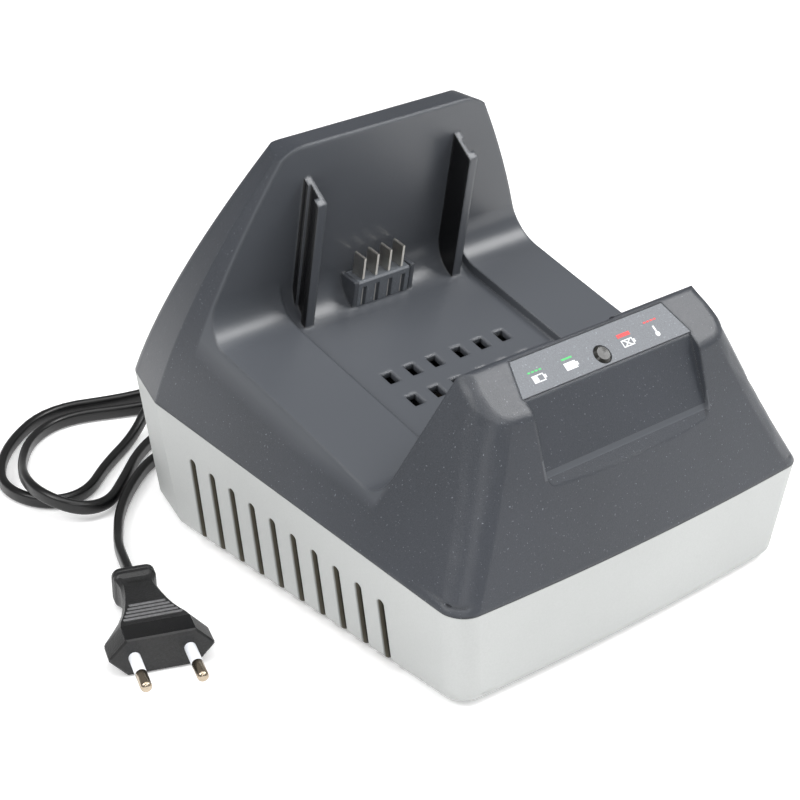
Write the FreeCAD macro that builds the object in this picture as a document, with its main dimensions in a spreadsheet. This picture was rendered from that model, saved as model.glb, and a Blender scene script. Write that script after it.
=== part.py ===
# Power tool battery charger with a tilted cradle, a wall with contact blades, a console and a mains lead.
# Millimetres. X runs across the charger, Y from its front to its back, Z up. The origin lies under its middle.
import FreeCAD, Part
import Sketcher
import math
import os
import re
from types import SimpleNamespace
from FreeCAD import Placement, Rotation, Vector

# Driving dimensions
SIZES = {
    # outline
    "width": 163.6,
    "depth": 190.8,
    "seam_front": 37.6,
    "seam_back": 54.4,
    "front_bow": 2.6,
    "corner_radius": 9.0,
    "facet_across": 8.4,
    "facet_along": 26.9,
    "facet_soften": 6.7,
    "wall": 2.5,
    "lip_inset": 1.9,
    "lip_thick": 1.2,
    "lip_tall": 2.4,
    # base
    "foot_standing": 1.5,
    "base_draft": 5.4,
    "base_draft_ends": 4.05,
    "base_round": 3.6,
    "slot_count": 10,
    "slot_pitch": 11.41,
    "slot_width": 3.6,
    "slot_last": 49.4,
    "slot_drop": 13.9,
    # upper housing
    "peak": 147.3,
    "peak_depth": 12.2,
    "peak_from_back": 59.4,
    "peak_radius": 17.0,
    "wall_lean": 10.45,
    "side_lean": 0.295,
    "side_lean_growth": 0.0029,
    "side_curve": 0.0011,
    "side_curve_growth": 0.000025,
    "facet_fade": 0.007,
    "corner_growth": 0.04,
    "front_lean": 0.294,
    "back_lean": 0.487,
    # cradle
    "floor_tilt": 15.0,
    "floor_at_middle": 67.6,
    "step_height": 3.4,
    "step_half": 41.5,
    "console_from_front": 34.5,
    "console_back_lean": 18.0,
    "console_lip": 2.5,
    "peak_lip": 1.0,
    "peak_back_round": 4.0,
    "heel_radius": 13.0,
    "toe_radius": 9.0,
    "vent_pitch": 10.25,
    "vent_gap": 11.76,
    "vent_across": 4.15,
    "vent_along": 5.2,
    "vent_row_back": 3.9,
    "vent_row_front": -9.1,
    "vent_flare": 0.5,
    # console
    "console_back": 104.3,
    "console_tilt": 37.2,
    "console_round": 5.0,
    "notch_half": 14.0,
    "notch_depth": 2.0,
    "notch_drop": 9.0,
    "panel_depth": 3.0,
    "panel_foot": 66.0,
    "panel_ledge": 4.0,
    "panel_taper": 1.0,
    "panel_corner": 6.0,
    "bezel_back_half": 34.7,
    "bezel_front_half": 38.6,
    "bezel_long": 13.2,
    "bezel_from_edge": 3.6,
    "bezel_thick": 1.2,
    "lens_diameter": 6.6,
    "lens_forward": 2.5,
    "lens_dome": 1.0,
    "lens_flange": 0.9,
    "led_diameter": 5.0,
    "indicator_drop": 8.5,
    "indicator_screw": 24.0,
    "indicator_wide": 60.0,
    "indicator_deep": 12.0,
    # guide rails
    "rail_inner": 32.8,
    "rail_wide": 3.9,
    "rail_deep": 10.0,
    "rail_tall": 53.0,
    "rail_web": 1.8,
    "rail_lip": 2.6,
    "rail_step": 0.8,
    "rail_slant": 4.0,
    # terminals
    "blade_pitch": 6.03,
    "blade_thick": 1.0,
    "blade_deep": 5.6,
    "blade_above": 8.9,
    "blade_below": 5.0,
    "block_wide": 24.0,
    "block_deep": 8.4,
    "block_tall": 9.7,
    "block_below": 8.0,
    "cheek": 1.9,
    # boards
    "board_from_side": 14.8,
    "board_fan_gap": 3.5,
    "board_deep": 140.0,
    "board_thick": 1.6,
    "board_standoff": 8.0,
    "standoff_radius": 3.4,
    "board_edge": 5.0,
    "core_wide": 44.0,
    "core_thick": 18.0,
    "core_tall": 36.0,
    "core_leg": 12.0,
    "core_yoke": 6.0,
    "core_x": 16.0,
    "core_y": 22.0,
    "sink_long": 50.0,
    "sink_tall": 30.0,
    "sink_plate": 3.0,
    "sink_fin": 7.0,
    "sink_from_edge": 15.0,
    "primary_sink_y": -46.0,
    "secondary_sink_y": 8.0,
    "winding_proud": 8.0,
    "bulk_diameter": 22.0,
    "bulk_tall": 35.0,
    "bulk_x": 30.0,
    "bulk_y": -24.0,
    "can_diameter": 10.0,
    "can_tall": 20.0,
    "can_pitch": 12.0,
    "can_from_sink": 6.0,
    "can_y": 62.0,
    "choke_radius": 8.5,
    "choke_winding": 4.5,
    "choke_seat": 26.0,
    "choke_seat_tall": 4.0,
    "choke_x": -12.0,
    "choke_y": -54.0,
    "fuse_radius": 2.6,
    "fuse_long": 20.0,
    "fuse_from_edge": 31.0,
    "fuse_y": -60.0,
    "clip_long": 4.0,
    "clip_wide": 7.0,
    "clip_tall": 5.0,
    "relay_long": 19.0,
    "relay_deep": 15.5,
    "relay_tall": 15.3,
    "relay_x": 8.0,
    "relay_y": -64.0,
    "inlet_long": 14.0,
    "inlet_deep": 10.0,
    "inlet_tall": 11.0,
    "inlet_aside": 20.0,
    "inlet_y": 56.0,
    "inlet_pitch": 7.0,
    # fan
    "fan_side": 50.0,
    "fan_thick": 15.0,
    "fan_bore": 47.0,
    "fan_from_side": 19.8,
    "fan_back": -2.0,
    "fan_blade_count": 7,
    "fan_blade_reach": 22.6,
    "hub_diameter": 22.0,
    "hub_wall": 1.4,
    "bearing_diameter": 5.0,
    "shaft_diameter": 3.0,
    # fasteners and feet
    "screw_from_side": 41.8,
    "screw_from_end": 17.4,
    "foot_from_side": 21.8,
    "foot_from_end": 23.4,
    "boss_radius": 4.6,
    "post_radius": 4.0,
    "screw_diameter": 3.2,
    "screw_head": 6.4,
    "screw_head_tall": 2.4,
    "screw_bite": 12.0,
    "screw_seat": 20.0,
    "foot_diameter": 13.0,
    "foot_recess": 1.0,
    # mains lead
    "cord_diameter": 5.4,
    "exit_height": 22.0,
    "exit_from_side": 59.8,
    "relief_long": 26.0,
    "relief_flange": 15.0,
    "relief_root": 11.0,
    "relief_tip": 7.4,
    "coil_radius": 34.0,
    "coil_pitch": 7.2,
    "coil_x": 50.0,
    "coil_y": 153.0,
    "cord_gap": 0.6,
    "coil_leave": 22.0,
    # plug
    "plug_wide": 35.3,
    "plug_tall": 13.7,
    "pin_spread": 18.6,
    "pin_diameter": 4.0,
    "pin_long": 19.0,
    "pin_sleeve_long": 10.0,
    # clearances
    "fit_gap": 0.15,
    "part_gap": 0.3,
    "running_gap": 0.05,
}

# Sizes that follow from the ones above, as formulas of the sheet
FOLLOWING = {
    "peak_front": "depth / 2 - peak_from_back",
    "console_edge": "console_from_front - depth / 2",
    "fan_place": "fan_from_side - width / 2",
    "board_wide": "width - fan_from_side - fan_thick / 2 - board_fan_gap - board_from_side",
    "board_right": "width / 2 - board_from_side",
    "board_centre": "board_right - board_wide / 2",
    "screw_spread_x": "width / 2 - screw_from_side",
    "screw_spread_y": "depth / 2 - screw_from_end",
    "foot_spread_x": "width / 2 - foot_from_side",
    "foot_spread_y": "depth / 2 - foot_from_end",
    "exit_place": "width / 2 - exit_from_side",
}

doc = FreeCAD.newDocument("battery_charger")
sheet = doc.addObject("Spreadsheet::Sheet", "Sizes")
cells = {name: str(value) for name, value in SIZES.items()}
cells.update((name, "=" + formula) for name, formula in FOLLOWING.items())
for row, (name, text) in enumerate(cells.items(), start=1):
    sheet.set(f"A{row}", name)
    sheet.set(f"B{row}", text)
    sheet.setAlias(f"B{row}", name)
doc.recompute()
size = SimpleNamespace(**{name: float(sheet.get(name)) for name in cells})
PARTS = {}


# Small helpers

def linked(text):
    """An expression in which every word that names a cell points at the sheet."""
    def point(found):
        word = found.group(0)
        return "Sizes." + word if word in cells else word

    return re.sub(r"[a-z][a-z_0-9]*", point, text)


def bind(item, **values):
    for name, text in values.items():
        item.setExpression(name, linked(text))
    return item


def stand(item, x="0", y="0", z="0"):
    for axis, text in (("x", x), ("y", y), ("z", z)):
        item.setExpression("Placement.Base." + axis, linked(text))
    return item


def box(name, length, width, height, x, y, z):
    item = doc.addObject("Part::Box", name)
    bind(item, Length=length, Width=width, Height=height)
    return stand(item, x, y, z)


def rod(name, radius, height, x, y, z):
    item = doc.addObject("Part::Cylinder", name)
    bind(item, Radius=radius, Height=height)
    return stand(item, x, y, z)


def joined(name, items):
    item = doc.addObject("Part::MultiFuse", name)
    item.Shapes = items
    return item


def cut(name, base, tool):
    item = doc.addObject("Part::Cut", name)
    item.Base = base
    item.Tool = tool
    return item


def origin_plane(body, role):
    return next(item for item in body.Origin.OriginFeatures if item.Role == role)


def outline_sketch(body, plane, corners):
    """A closed outline whose corners are pinned to the sheet: each corner is a pair of expressions."""
    sketch = body.newObject("Sketcher::SketchObject", body.Name + "_outline")
    sketch.AttachmentSupport = (origin_plane(body, plane), [""])
    sketch.MapMode = "FlatFace"
    count = len(corners)
    start = [Vector(20 * math.cos(2 * math.pi * i / count), 20 * math.sin(2 * math.pi * i / count), 0)
             for i in range(count)]
    for i in range(count):
        sketch.addGeometry(Part.LineSegment(start[i], start[(i + 1) % count]))
    for i in range(count):
        sketch.addConstraint(Sketcher.Constraint("Coincident", i, 2, (i + 1) % count, 1))
    for i, corner in enumerate(corners):
        for kind, axis, text, value in (("DistanceX", -2, corner[0], start[i].x),
                                        ("DistanceY", -1, corner[1], start[i].y)):
            if text == "0":
                sketch.addConstraint(Sketcher.Constraint("PointOnObject", i, 1, axis))
            else:
                pin = sketch.addConstraint(Sketcher.Constraint(kind, -1, 1, i, 1, value))
                sketch.setExpression(f"Constraints[{pin}]", linked(text))
    return sketch


def turned(label, corners):
    """A body turned about Z from an outline of (radius, height) corners."""
    body = doc.addObject("PartDesign::Body", label)
    sketch = outline_sketch(body, "XZ_Plane", corners)
    doc.recompute()
    turn = body.newObject("PartDesign::Revolution", label + "_turn")
    turn.Profile = sketch
    turn.ReferenceAxis = (sketch, ["V_Axis"])
    turn.Angle = 360
    return keep(body, label)


def plate(label, corners, thick):
    """A body padded upwards from an outline of (x, y) corners."""
    body = doc.addObject("PartDesign::Body", label)
    sketch = outline_sketch(body, "XY_Plane", corners)
    doc.recompute()
    pad = body.newObject("PartDesign::Pad", label + "_pad")
    pad.Profile = sketch
    pad.setExpression("Length", linked(thick))
    return keep(body, label)


def keep(item, label):
    """Marks an object as a finished sub-part and gives it the name of its file."""
    item.Label = label
    PARTS[label] = item
    return item


def keep_shape(shape, label, placement=None):
    item = doc.addObject("Part::Feature", label)
    item.Shape = shape
    if placement is not None:
        item.Placement = placement
    return keep(item, label)


def tan(degrees):
    return math.tan(math.radians(degrees))


def rounded(points, radii):
    """Edges of a closed outline whose corners are arcs of the given radii (0 leaves a corner sharp)."""
    count = len(points)
    starts, ends, arcs = [], [], []
    for i, corner in enumerate(points):
        before, after = points[i - 1] - corner, points[(i + 1) % count] - corner
        if radii[i] <= 0:
            starts.append(corner)
            ends.append(corner)
            arcs.append(None)
            continue
        a, b = Vector(before).normalize(), Vector(after).normalize()
        half = a.getAngle(b) / 2
        reach = radii[i] / math.tan(half)
        middle = Vector(a + b).normalize()
        arcs.append(corner + middle * (radii[i] / math.sin(half) - radii[i]))
        starts.append(corner + a * reach)
        ends.append(corner + b * reach)
    edges = []
    for i in range(count):
        if arcs[i] is not None:
            edges.append(Part.Arc(starts[i], arcs[i], ends[i]).toShape())
        if (starts[(i + 1) % count] - ends[i]).Length > 1e-6:
            edges.append(Part.LineSegment(ends[i], starts[(i + 1) % count]).toShape())
    return Part.Wire(edges)


def bar(wire, along):
    return Part.Face(wire).extrude(along)


def side_view(outline, radii, half):
    """A bar across the charger whose outline is given as (y, z) points."""
    wire = rounded([Vector(-half, y, z) for y, z in outline], radii)
    return bar(wire, Vector(2 * half, 0, 0))


# Outer form of the housing

BACK = size.depth / 2
FRONT = -size.depth / 2
SEAM_SLOPE = (size.seam_back - size.seam_front) / size.depth
FLOOR_Z = size.foot_standing + size.wall


def seam_z(y):
    return size.seam_front + (y - FRONT) * SEAM_SLOPE


# Where the middle of the arc that softens the back corner lies, as shares of its reach
ARC_NEAR, ARC_FAR = 0.12, 0.24


def plan_outline(half_front, half_back, front, back, radius, facet, lift, inset=0.0):
    """A level outline: bowed front, round front corners, straight sides that may taper, faceted back corners.
    lift gives the height at a y. Every outline has the same edges in the same order."""
    front, back = front + inset, back - inset
    half_front, half_back = half_front - inset, half_back - inset
    radius = max(radius - inset, 1.0)
    bow = size.front_bow
    facet_x, facet_y = facet

    def at(x, y):
        return Vector(x, y, lift(y))

    bend = (half_front ** 2 + bow ** 2) / (2 * bow)
    centre_y = front + bend
    corner_x = half_front - radius
    corner_y = centre_y - math.sqrt((bend - radius) ** 2 - corner_x ** 2)
    lean = math.atan2(centre_y - corner_y, corner_x)
    touch_x = bend * math.cos(lean)
    touch_y = centre_y - bend * math.sin(lean)
    mid_x = corner_x + radius * math.cos(lean / 2)
    mid_y = corner_y - radius * math.sin(lean / 2)
    soft = min(size.facet_soften, facet_x * 0.8)
    near, far = soft * ARC_NEAR, soft * ARC_FAR
    along = math.hypot(facet_x, facet_y)
    turn_y = back - facet_y
    turn_x = half_back - facet_x
    soft_x, soft_y = soft * facet_x / along, soft * facet_y / along
    edges = [
        Part.Arc(at(-touch_x, touch_y), at(0, front), at(touch_x, touch_y)).toShape(),
        Part.Arc(at(touch_x, touch_y), at(mid_x, mid_y), at(half_front, corner_y)).toShape(),
        Part.LineSegment(at(half_front, corner_y), at(half_back, turn_y)).toShape(),
        Part.LineSegment(at(half_back, turn_y), at(turn_x + soft_x, back - soft_y)).toShape(),
        Part.Arc(at(turn_x + soft_x, back - soft_y), at(turn_x - near, back - far),
                 at(turn_x - soft, back)).toShape(),
        Part.LineSegment(at(turn_x - soft, back), at(-turn_x + soft, back)).toShape(),
        Part.Arc(at(-turn_x + soft, back), at(-turn_x + near, back - far),
                 at(-turn_x - soft_x, back - soft_y)).toShape(),
        Part.LineSegment(at(-turn_x - soft_x, back - soft_y), at(-half_back, turn_y)).toShape(),
        Part.LineSegment(at(-half_back, turn_y), at(-half_front, corner_y)).toShape(),
        Part.Arc(at(-half_front, corner_y), at(-mid_x, mid_y), at(-touch_x, touch_y)).toShape(),
    ]
    return Part.Wire(edges)


# Heights above the seam at which the upper housing's outline is drawn
LEVELS = (0.0, 13.0, 26.0, 52.0, 78.0, 104.0)


def level_outline(height, inset, shown=None):
    """The outline of the upper housing at a height above the seam. Its sides lean in and curve over."""
    front = FRONT + size.front_lean * height
    back = BACK - size.back_lean * height
    middle = size.width / 2 - size.side_lean * height - size.side_curve * height ** 2
    growth = size.side_lean_growth * height - size.side_curve_growth * height ** 2
    share = 1.0 - size.facet_fade * height
    facet = (size.facet_across * share, size.facet_along * share)
    shown = height if shown is None else shown
    return plan_outline(middle + growth * front, middle + growth * (back - facet[1]), front, back,
                        size.corner_radius + size.corner_growth * height, facet,
                        lambda y: seam_z(y) + shown, inset)


def upper_form(inset, sink=0.0):
    """The outside of the upper housing, or its hollow when inset, before the cradle is cut out of it.
    A hollow starts a little below the seam."""
    wires = [level_outline(0.0, inset, -sink)]
    wires += [level_outline(height, inset) for height in LEVELS[1:]]
    return Part.makeLoft(wires, True, False)


# Side profile: console top, console back, cradle floor, wall and roof.
# Each is a line given by a point and a direction.

def profile_lines(floor_lift, inset):
    """Points and directions of the five lines, moved into the material by inset."""
    tilt = math.radians(size.console_tilt)
    back = math.radians(size.console_back_lean)
    floor = math.radians(size.floor_tilt)
    lean = math.radians(size.wall_lean)
    edge = Vector(0, size.console_edge, size.console_back)
    lines = [
        (edge, Vector(0, math.cos(tilt), math.sin(tilt))),
        (edge, Vector(0, math.sin(back), -math.cos(back))),
        (Vector(0, 0, size.floor_at_middle + floor_lift), Vector(0, math.cos(floor), math.sin(floor))),
        (Vector(0, size.peak_front, size.peak), Vector(0, -math.sin(lean), math.cos(lean))),
        (Vector(0, size.peak_front, size.peak), Vector(0, 1, 0)),
    ]
    return [(point + Vector(0, way.z, -way.y) * inset, way) for point, way in lines]


def crossing(first, second):
    (p, a), (q, b) = first, second
    d = a.y * b.z - a.z * b.y
    k = ((q.y - p.y) * b.z - (q.z - p.z) * b.y) / d
    return p + a * k


def on_line(line, y):
    point, way = line
    return point + way * ((y - point.y) / way.y)


ABOVE = 260.0
BEYOND = 40.0


def open_side(floor_lift, inset, half):
    """Everything above the side profile, as a bar across the charger."""
    top, back, floor, wall, roof = profile_lines(floor_lift, inset)
    edge = crossing(top, back)
    toe = crossing(back, floor)
    heel = crossing(floor, wall)
    brow = crossing(wall, roof)
    start = on_line(top, FRONT - BEYOND)
    rear = Vector(0, size.peak_front + size.peak_depth - inset, brow.z)
    slope = (BACK - rear.y) / (rear.z - size.seam_back)
    round_edge = 0.0 if inset else size.console_lip
    round_brow = 0.0 if inset else size.peak_lip
    round_rear = 0.0 if inset else size.peak_back_round
    clear_of_back = (rear.y + slope * BEYOND + 1.0, rear.z - BEYOND)
    outline = [(start.y, start.z), (edge.y, edge.z), (toe.y, toe.z), (heel.y, heel.z), (brow.y, brow.z),
               (rear.y, rear.z), clear_of_back, (BACK + 2 * BEYOND, clear_of_back[1]),
               (BACK + 2 * BEYOND, ABOVE), (start.y, ABOVE)]
    radii = [0, round_edge, size.toe_radius + inset, size.heel_radius + inset, round_brow, round_rear]
    radii += [0] * (len(outline) - len(radii))
    return side_view(outline, radii, half)


def console_cap(inset):
    top = profile_lines(0, inset)[0]
    start, end = on_line(top, FRONT - BEYOND), on_line(top, size.console_edge + 8)
    outline = [(start.y, start.z), (end.y, end.z), (end.y, ABOVE), (start.y, ABOVE)]
    return side_view(outline, [0] * 4, BEYOND * 3)


def edges_of(shape, test):
    return [edge for edge in shape.Edges if test(edge)]


def middle_of(edge):
    return edge.valueAt((edge.FirstParameter + edge.LastParameter) / 2)


def peak_arch():
    """A bar along the charger that rounds the top corners of the wall."""
    y = size.peak_front + size.peak_depth
    height = size.peak - seam_z(y)
    lean = size.side_lean - size.side_lean_growth * y
    curve = size.side_curve + size.side_curve_growth * y
    top = size.width / 2 - lean * height - curve * height ** 2
    slope = lean + 2 * curve * height
    drop = 90.0
    foot = top + slope * drop
    low = size.peak - drop
    points = [Vector(-foot, FRONT - BEYOND, low), Vector(-top, FRONT - BEYOND, size.peak),
              Vector(top, FRONT - BEYOND, size.peak), Vector(foot, FRONT - BEYOND, low),
              Vector(foot, FRONT - BEYOND, 0), Vector(-foot, FRONT - BEYOND, 0)]
    wire = rounded(points, [0, size.peak_radius, size.peak_radius, 0, 0, 0])
    return bar(wire, Vector(0, size.depth + 2 * BEYOND, 0))


def upper_outside():
    form = upper_form(0.0).cut(console_cap(0.0))
    top = profile_lines(0, 0)[0][0]
    normal = Vector(0, -math.sin(math.radians(size.console_tilt)), math.cos(math.radians(size.console_tilt)))
    rim = edges_of(form, lambda e: abs((middle_of(e) - top).dot(normal)) < 0.01
                   and middle_of(e).y < size.console_edge + 7.9)
    form = form.makeFillet(size.console_round, rim)
    form = form.common(peak_arch())
    form = form.cut(open_side(size.step_height, 0.0, BEYOND * 3))
    return form.cut(open_side(0.0, 0.0, size.step_half))


def upper_inside():
    form = upper_form(size.wall, 3.0).cut(console_cap(size.wall))
    form = form.cut(open_side(size.step_height, size.wall, BEYOND * 3))
    return form.cut(open_side(0.0, size.wall, size.step_half + size.wall))


# Places on the slanted faces

def wall_frame():
    """At the foot of the wall on the middle plane: X across, Y into the wall, Z up along it."""
    _, _, floor, wall, _ = profile_lines(0.0, 0.0)
    return Placement(crossing(floor, wall), Rotation(Vector(1, 0, 0), size.wall_lean))


def floor_frame(y):
    """On the cradle's floor: Y climbs along the floor, Z stands square on it."""
    floor = profile_lines(0.0, 0.0)[2]
    return Placement(on_line(floor, y), Rotation(Vector(1, 0, 0), size.floor_tilt))


def console_frame():
    """At the middle of the indicator bezel: Y climbs along the console's top, Z stands square on it."""
    top = profile_lines(0.0, 0.0)[0]
    reach = size.bezel_from_edge + size.bezel_long / 2
    return Placement(top[0] - top[1] * reach, Rotation(Vector(1, 0, 0), size.console_tilt))


def placed(shape, frame):
    moved = shape.copy()
    moved.Placement = frame.multiply(moved.Placement)
    return moved


def block(x0, x1, y0, y1, z0, z1):
    return Part.makeBox(x1 - x0, y1 - y0, z1 - z0, Vector(x0, y0, z0))


def pipe_z(radius, z0, z1, x=0.0, y=0.0):
    return Part.makeCylinder(radius, z1 - z0, Vector(x, y, z0))


# Upper housing

def rail(side):
    """A guide rail, slanted on top: a web on the inner side, a lip in front and a low one at the wall."""
    inner, outer = size.rail_inner, size.rail_inner + size.rail_wide
    deep, tall, sunk = size.rail_deep, size.rail_tall, size.wall / 2
    above = tall + size.rail_slant
    body = block(inner, inner + size.rail_web, -deep, sunk, -sunk, above)
    body = body.fuse(block(inner, outer, -deep, -deep + size.rail_lip, -sunk, above))
    body = body.fuse(block(inner, outer - size.rail_step, -size.rail_lip, sunk, -sunk, above))
    beside, high = inner - 1, tall + size.rail_slant / 2
    corners = [Vector(beside, -deep, tall - size.rail_slant), Vector(beside, 0, high),
               Vector(beside, BEYOND, high), Vector(beside, BEYOND, tall + BEYOND),
               Vector(beside, -deep, tall + BEYOND)]
    slant = Part.Face(closed(corners))
    body = body.cut(slant.extrude(Vector(size.rail_wide + 2, 0, 0)))
    if side < 0:
        body = body.mirror(Vector(0, 0, 0), Vector(1, 0, 0))
    return placed(body, wall_frame())


def vent_centres():
    """The floor vents: two rows of six with a wider gap in the middle."""
    for row in (size.vent_row_back, size.vent_row_front):
        for side in (-1, 1):
            for step in range(3):
                yield side * (size.vent_gap / 2 + step * size.vent_pitch), row


def vents():
    across, along, flare = size.vent_across, size.vent_along, size.vent_flare
    holes = []
    for x, y in vent_centres():
        frame = floor_frame(y)
        frame.Base.x = x
        hole = block(-across / 2, across / 2, -along / 2, along / 2, -2 * size.wall, size.wall)
        bevel = Part.makeLoft([rectangle(across, along, -flare),
                               rectangle(across + 2 * flare, along + 2 * flare, 0.02)], True, True)
        holes += [placed(hole, frame), placed(bevel, frame)]
    return holes


def closed(corners):
    return Part.makePolygon(corners + corners[:1])


def rectangle(across, along, z):
    x, y = across / 2, along / 2
    return closed([Vector(-x, -y, z), Vector(x, -y, z), Vector(x, y, z), Vector(-x, y, z)])


def bezel_plate(grow, z0, z1):
    """The indicator bezel's trapezoid, grown all round by a clearance."""
    back, front = size.bezel_back_half + grow, size.bezel_front_half + grow
    half = size.bezel_long / 2 + grow
    wire = closed([Vector(-front, -half, z0), Vector(front, -half, z0), Vector(back, half, z0),
                   Vector(-back, half, z0)])
    return Part.Face(wire).extrude(Vector(0, 0, z1 - z0))


def panel_recess(grow):
    """The sunk panel below the bezel: it deepens downwards and ends in a ledge with round corners."""
    top = profile_lines(0.0, 0.0)[0]
    start = top[0] - top[1] * (size.bezel_from_edge + size.bezel_long)
    foot = size.panel_foot - grow
    surface = FRONT + size.front_lean * (foot - seam_z(FRONT))
    deep = size.panel_depth + grow
    outline = [(FRONT - BEYOND, foot - size.panel_ledge), (surface, foot),
               (surface + deep, foot + size.panel_ledge), (start.y, start.z - grow),
               (start.y - 1, start.z + BEYOND), (FRONT - BEYOND, start.z + BEYOND)]
    along = side_view(outline, [0] * 6, BEYOND * 2)
    half = size.bezel_front_half + grow
    foot_half = half - size.panel_taper
    points = [Vector(-half, FRONT - BEYOND, start.z + BEYOND), Vector(-foot_half, FRONT - BEYOND, foot),
              Vector(foot_half, FRONT - BEYOND, foot), Vector(half, FRONT - BEYOND, start.z + BEYOND)]
    across = bar(rounded(points, [0, size.panel_corner, size.panel_corner, 0]), Vector(0, 2 * BEYOND, 0))
    return along.common(across)


def notch():
    """A shallow relief in the back edge of the console."""
    top, back = profile_lines(0.0, 0.0)[:2]
    edge = crossing(top, back)
    cutter = block(-size.notch_half, size.notch_half, -size.notch_depth, BEYOND, -size.notch_drop, BEYOND)
    return placed(cutter, Placement(edge, Rotation(Vector(1, 0, 0), size.console_back_lean)))


def terminal_opening(grow):
    """The room of the terminal block in the cradle, from the wall forward and down through the floor."""
    half = size.block_wide / 2 + grow
    low = -size.block_below - size.wall
    return placed(block(-half, half, -size.block_deep - grow, grow, low, size.block_tall + grow), wall_frame())


def collar():
    """The raised shroud at both sides of the terminal block."""
    half = size.block_wide / 2 + size.fit_gap
    sides = [sorted((side * half, side * (half + size.cheek))) for side in (-1, 1)]
    cheeks = [block(x0, x1, -size.block_deep - size.fit_gap, size.wall / 2, -size.wall, size.block_tall + 0.5)
              for x0, x1 in sides]
    return placed(cheeks[0].fuse(cheeks[1]), wall_frame())


def screw_places():
    """The four screws that hold the two housings together."""
    for x in (-size.screw_spread_x, size.screw_spread_x):
        for y in (-size.screw_spread_y, size.screw_spread_y):
            yield x, y


def corner_posts(outside):
    """Posts for the housing screws: they hang from the shell down to the seam, with pilot holes."""
    posts, holes = [], []
    for x, y in screw_places():
        low = seam_z(y) + size.part_gap
        posts.append(pipe_z(size.post_radius, low, ABOVE, x, y).common(outside))
        holes.append(pipe_z(size.screw_diameter / 2 - size.fit_gap, low - 1, low + size.screw_bite + 1, x, y))
    return posts, holes


POST_RADIUS, PILOT_RADIUS, PILOT_DEEP = 2.6, 0.9, 4.0


def indicator_places():
    for x in (-size.indicator_screw, size.indicator_screw):
        yield x, -size.lens_forward


def indicator_posts():
    """Two posts under the console's roof that carry the indicator board."""
    low = -size.indicator_drop
    frame, posts, holes = console_frame(), [], []
    for x, y in indicator_places():
        posts.append(placed(pipe_z(POST_RADIUS, low, -size.bezel_thick, x, y), frame))
        holes.append(placed(pipe_z(PILOT_RADIUS, low - 1, low + PILOT_DEEP, x, y), frame))
    return posts, holes


def seam_band(inset_out, inset_in, low, high):
    """A ring that follows the seam between two insets and two heights."""
    outer = [level_outline(0.0, inset_out, low), level_outline(0.0, inset_out, high)]
    inner = [level_outline(0.0, inset_in, low - 1), level_outline(0.0, inset_in, high + 1)]
    return Part.makeLoft(outer, True, True).cut(Part.makeLoft(inner, True, True))


def upper_housing():
    outside = upper_outside().cut(panel_recess(0.0))
    hollow = upper_inside().cut(panel_recess(size.wall))
    posts, pilot_holes = corner_posts(outside)
    indicator, indicator_holes = indicator_posts()
    shell = outside.cut(hollow)
    shell = shell.fuse(posts + indicator + [rail(-1), rail(1), collar()])
    rebate = seam_band(size.lip_inset - size.fit_gap, size.lip_inset + size.wall,
                       -1.0, size.lip_tall + size.part_gap)
    seat = bezel_plate(size.fit_gap, -size.bezel_thick, BEYOND)
    window = pipe_z(size.lens_diameter / 2 + size.fit_gap, -3 * size.wall, BEYOND, 0, -size.lens_forward)
    tools = pilot_holes + indicator_holes + vents()
    tools += [placed(seat, console_frame()), placed(window, console_frame())]
    tools += [notch(), terminal_opening(size.fit_gap), rebate]
    return shell.cut(tools).removeSplitter().Solids[0]


# Base housing

def base_outline(inset, height):
    front, back = FRONT + size.base_draft_ends, BACK - size.base_draft_ends
    half = size.width / 2 - size.base_draft
    return plan_outline(half, half, front, back, size.corner_radius, (size.facet_across, size.facet_along),
                        lambda y: height, inset)


def wall_back(z):
    """Where the base's back face stands at a height."""
    rise = (size.seam_back - z) / (size.seam_back - size.foot_standing)
    return BACK - size.base_draft_ends * rise


def wall_inside(z):
    """Where the base's back wall ends inside at a height."""
    rise = (size.seam_back - z) / (size.seam_back - FLOOR_Z)
    return BACK - size.wall - size.base_draft_ends * rise


SLOT_REACH = 6.0


def side_slots():
    """Upright slots in both sides. They run out through the rounded edge of the underside."""
    slots = []
    for i in range(int(size.slot_count)):
        y = size.slot_last - i * size.slot_pitch
        low, high = size.foot_standing / 2, seam_z(y) - size.slot_drop
        half = size.slot_width / 2
        for side in (-1, 1):
            x0, x1 = sorted((side * (size.width / 2 - size.base_draft - SLOT_REACH),
                             side * (size.width / 2 + SLOT_REACH)))
            slot = block(x0, x1, y - half, y + half, low, high - half)
            cap = Part.makeCylinder(half, x1 - x0, Vector(x0, y, high - half), Vector(1, 0, 0))
            slots += [slot, cap]
    return slots


BOARD_Z = FLOOR_Z + size.board_standoff
BOARD_TOP = BOARD_Z + size.board_thick
STANDOFF_PILOT = 1.15
FLANGE_THICK = 2.2
RIB_THICK, RIB_LONG, RIB_TALL = 1.8, 8.0, 5.0


def board_corners():
    for x in (-1, 1):
        for y in (-1, 1):
            yield (size.board_centre + x * (size.board_wide / 2 - size.board_edge),
                   y * (size.board_deep / 2 - size.board_edge))


def foot_places():
    for x in (-size.foot_spread_x, size.foot_spread_x):
        for y in (-size.foot_spread_y, size.foot_spread_y):
            yield x, y


def fan_cradle():
    """Ribs on the base's floor that hold the fan's frame upright between them."""
    half, reach = size.fan_side / 2, size.fan_thick / 2 + size.fit_gap
    ribs = []
    for side in (-1, 1):
        x0, x1 = sorted((size.fan_place + side * reach, size.fan_place + side * (reach + RIB_THICK)))
        for y in (size.fan_back - half, size.fan_back + half - RIB_LONG):
            ribs.append(block(x0, x1, y, y + RIB_LONG, size.foot_standing + size.wall / 2, FLOOR_Z + RIB_TALL))
    return ribs


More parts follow.
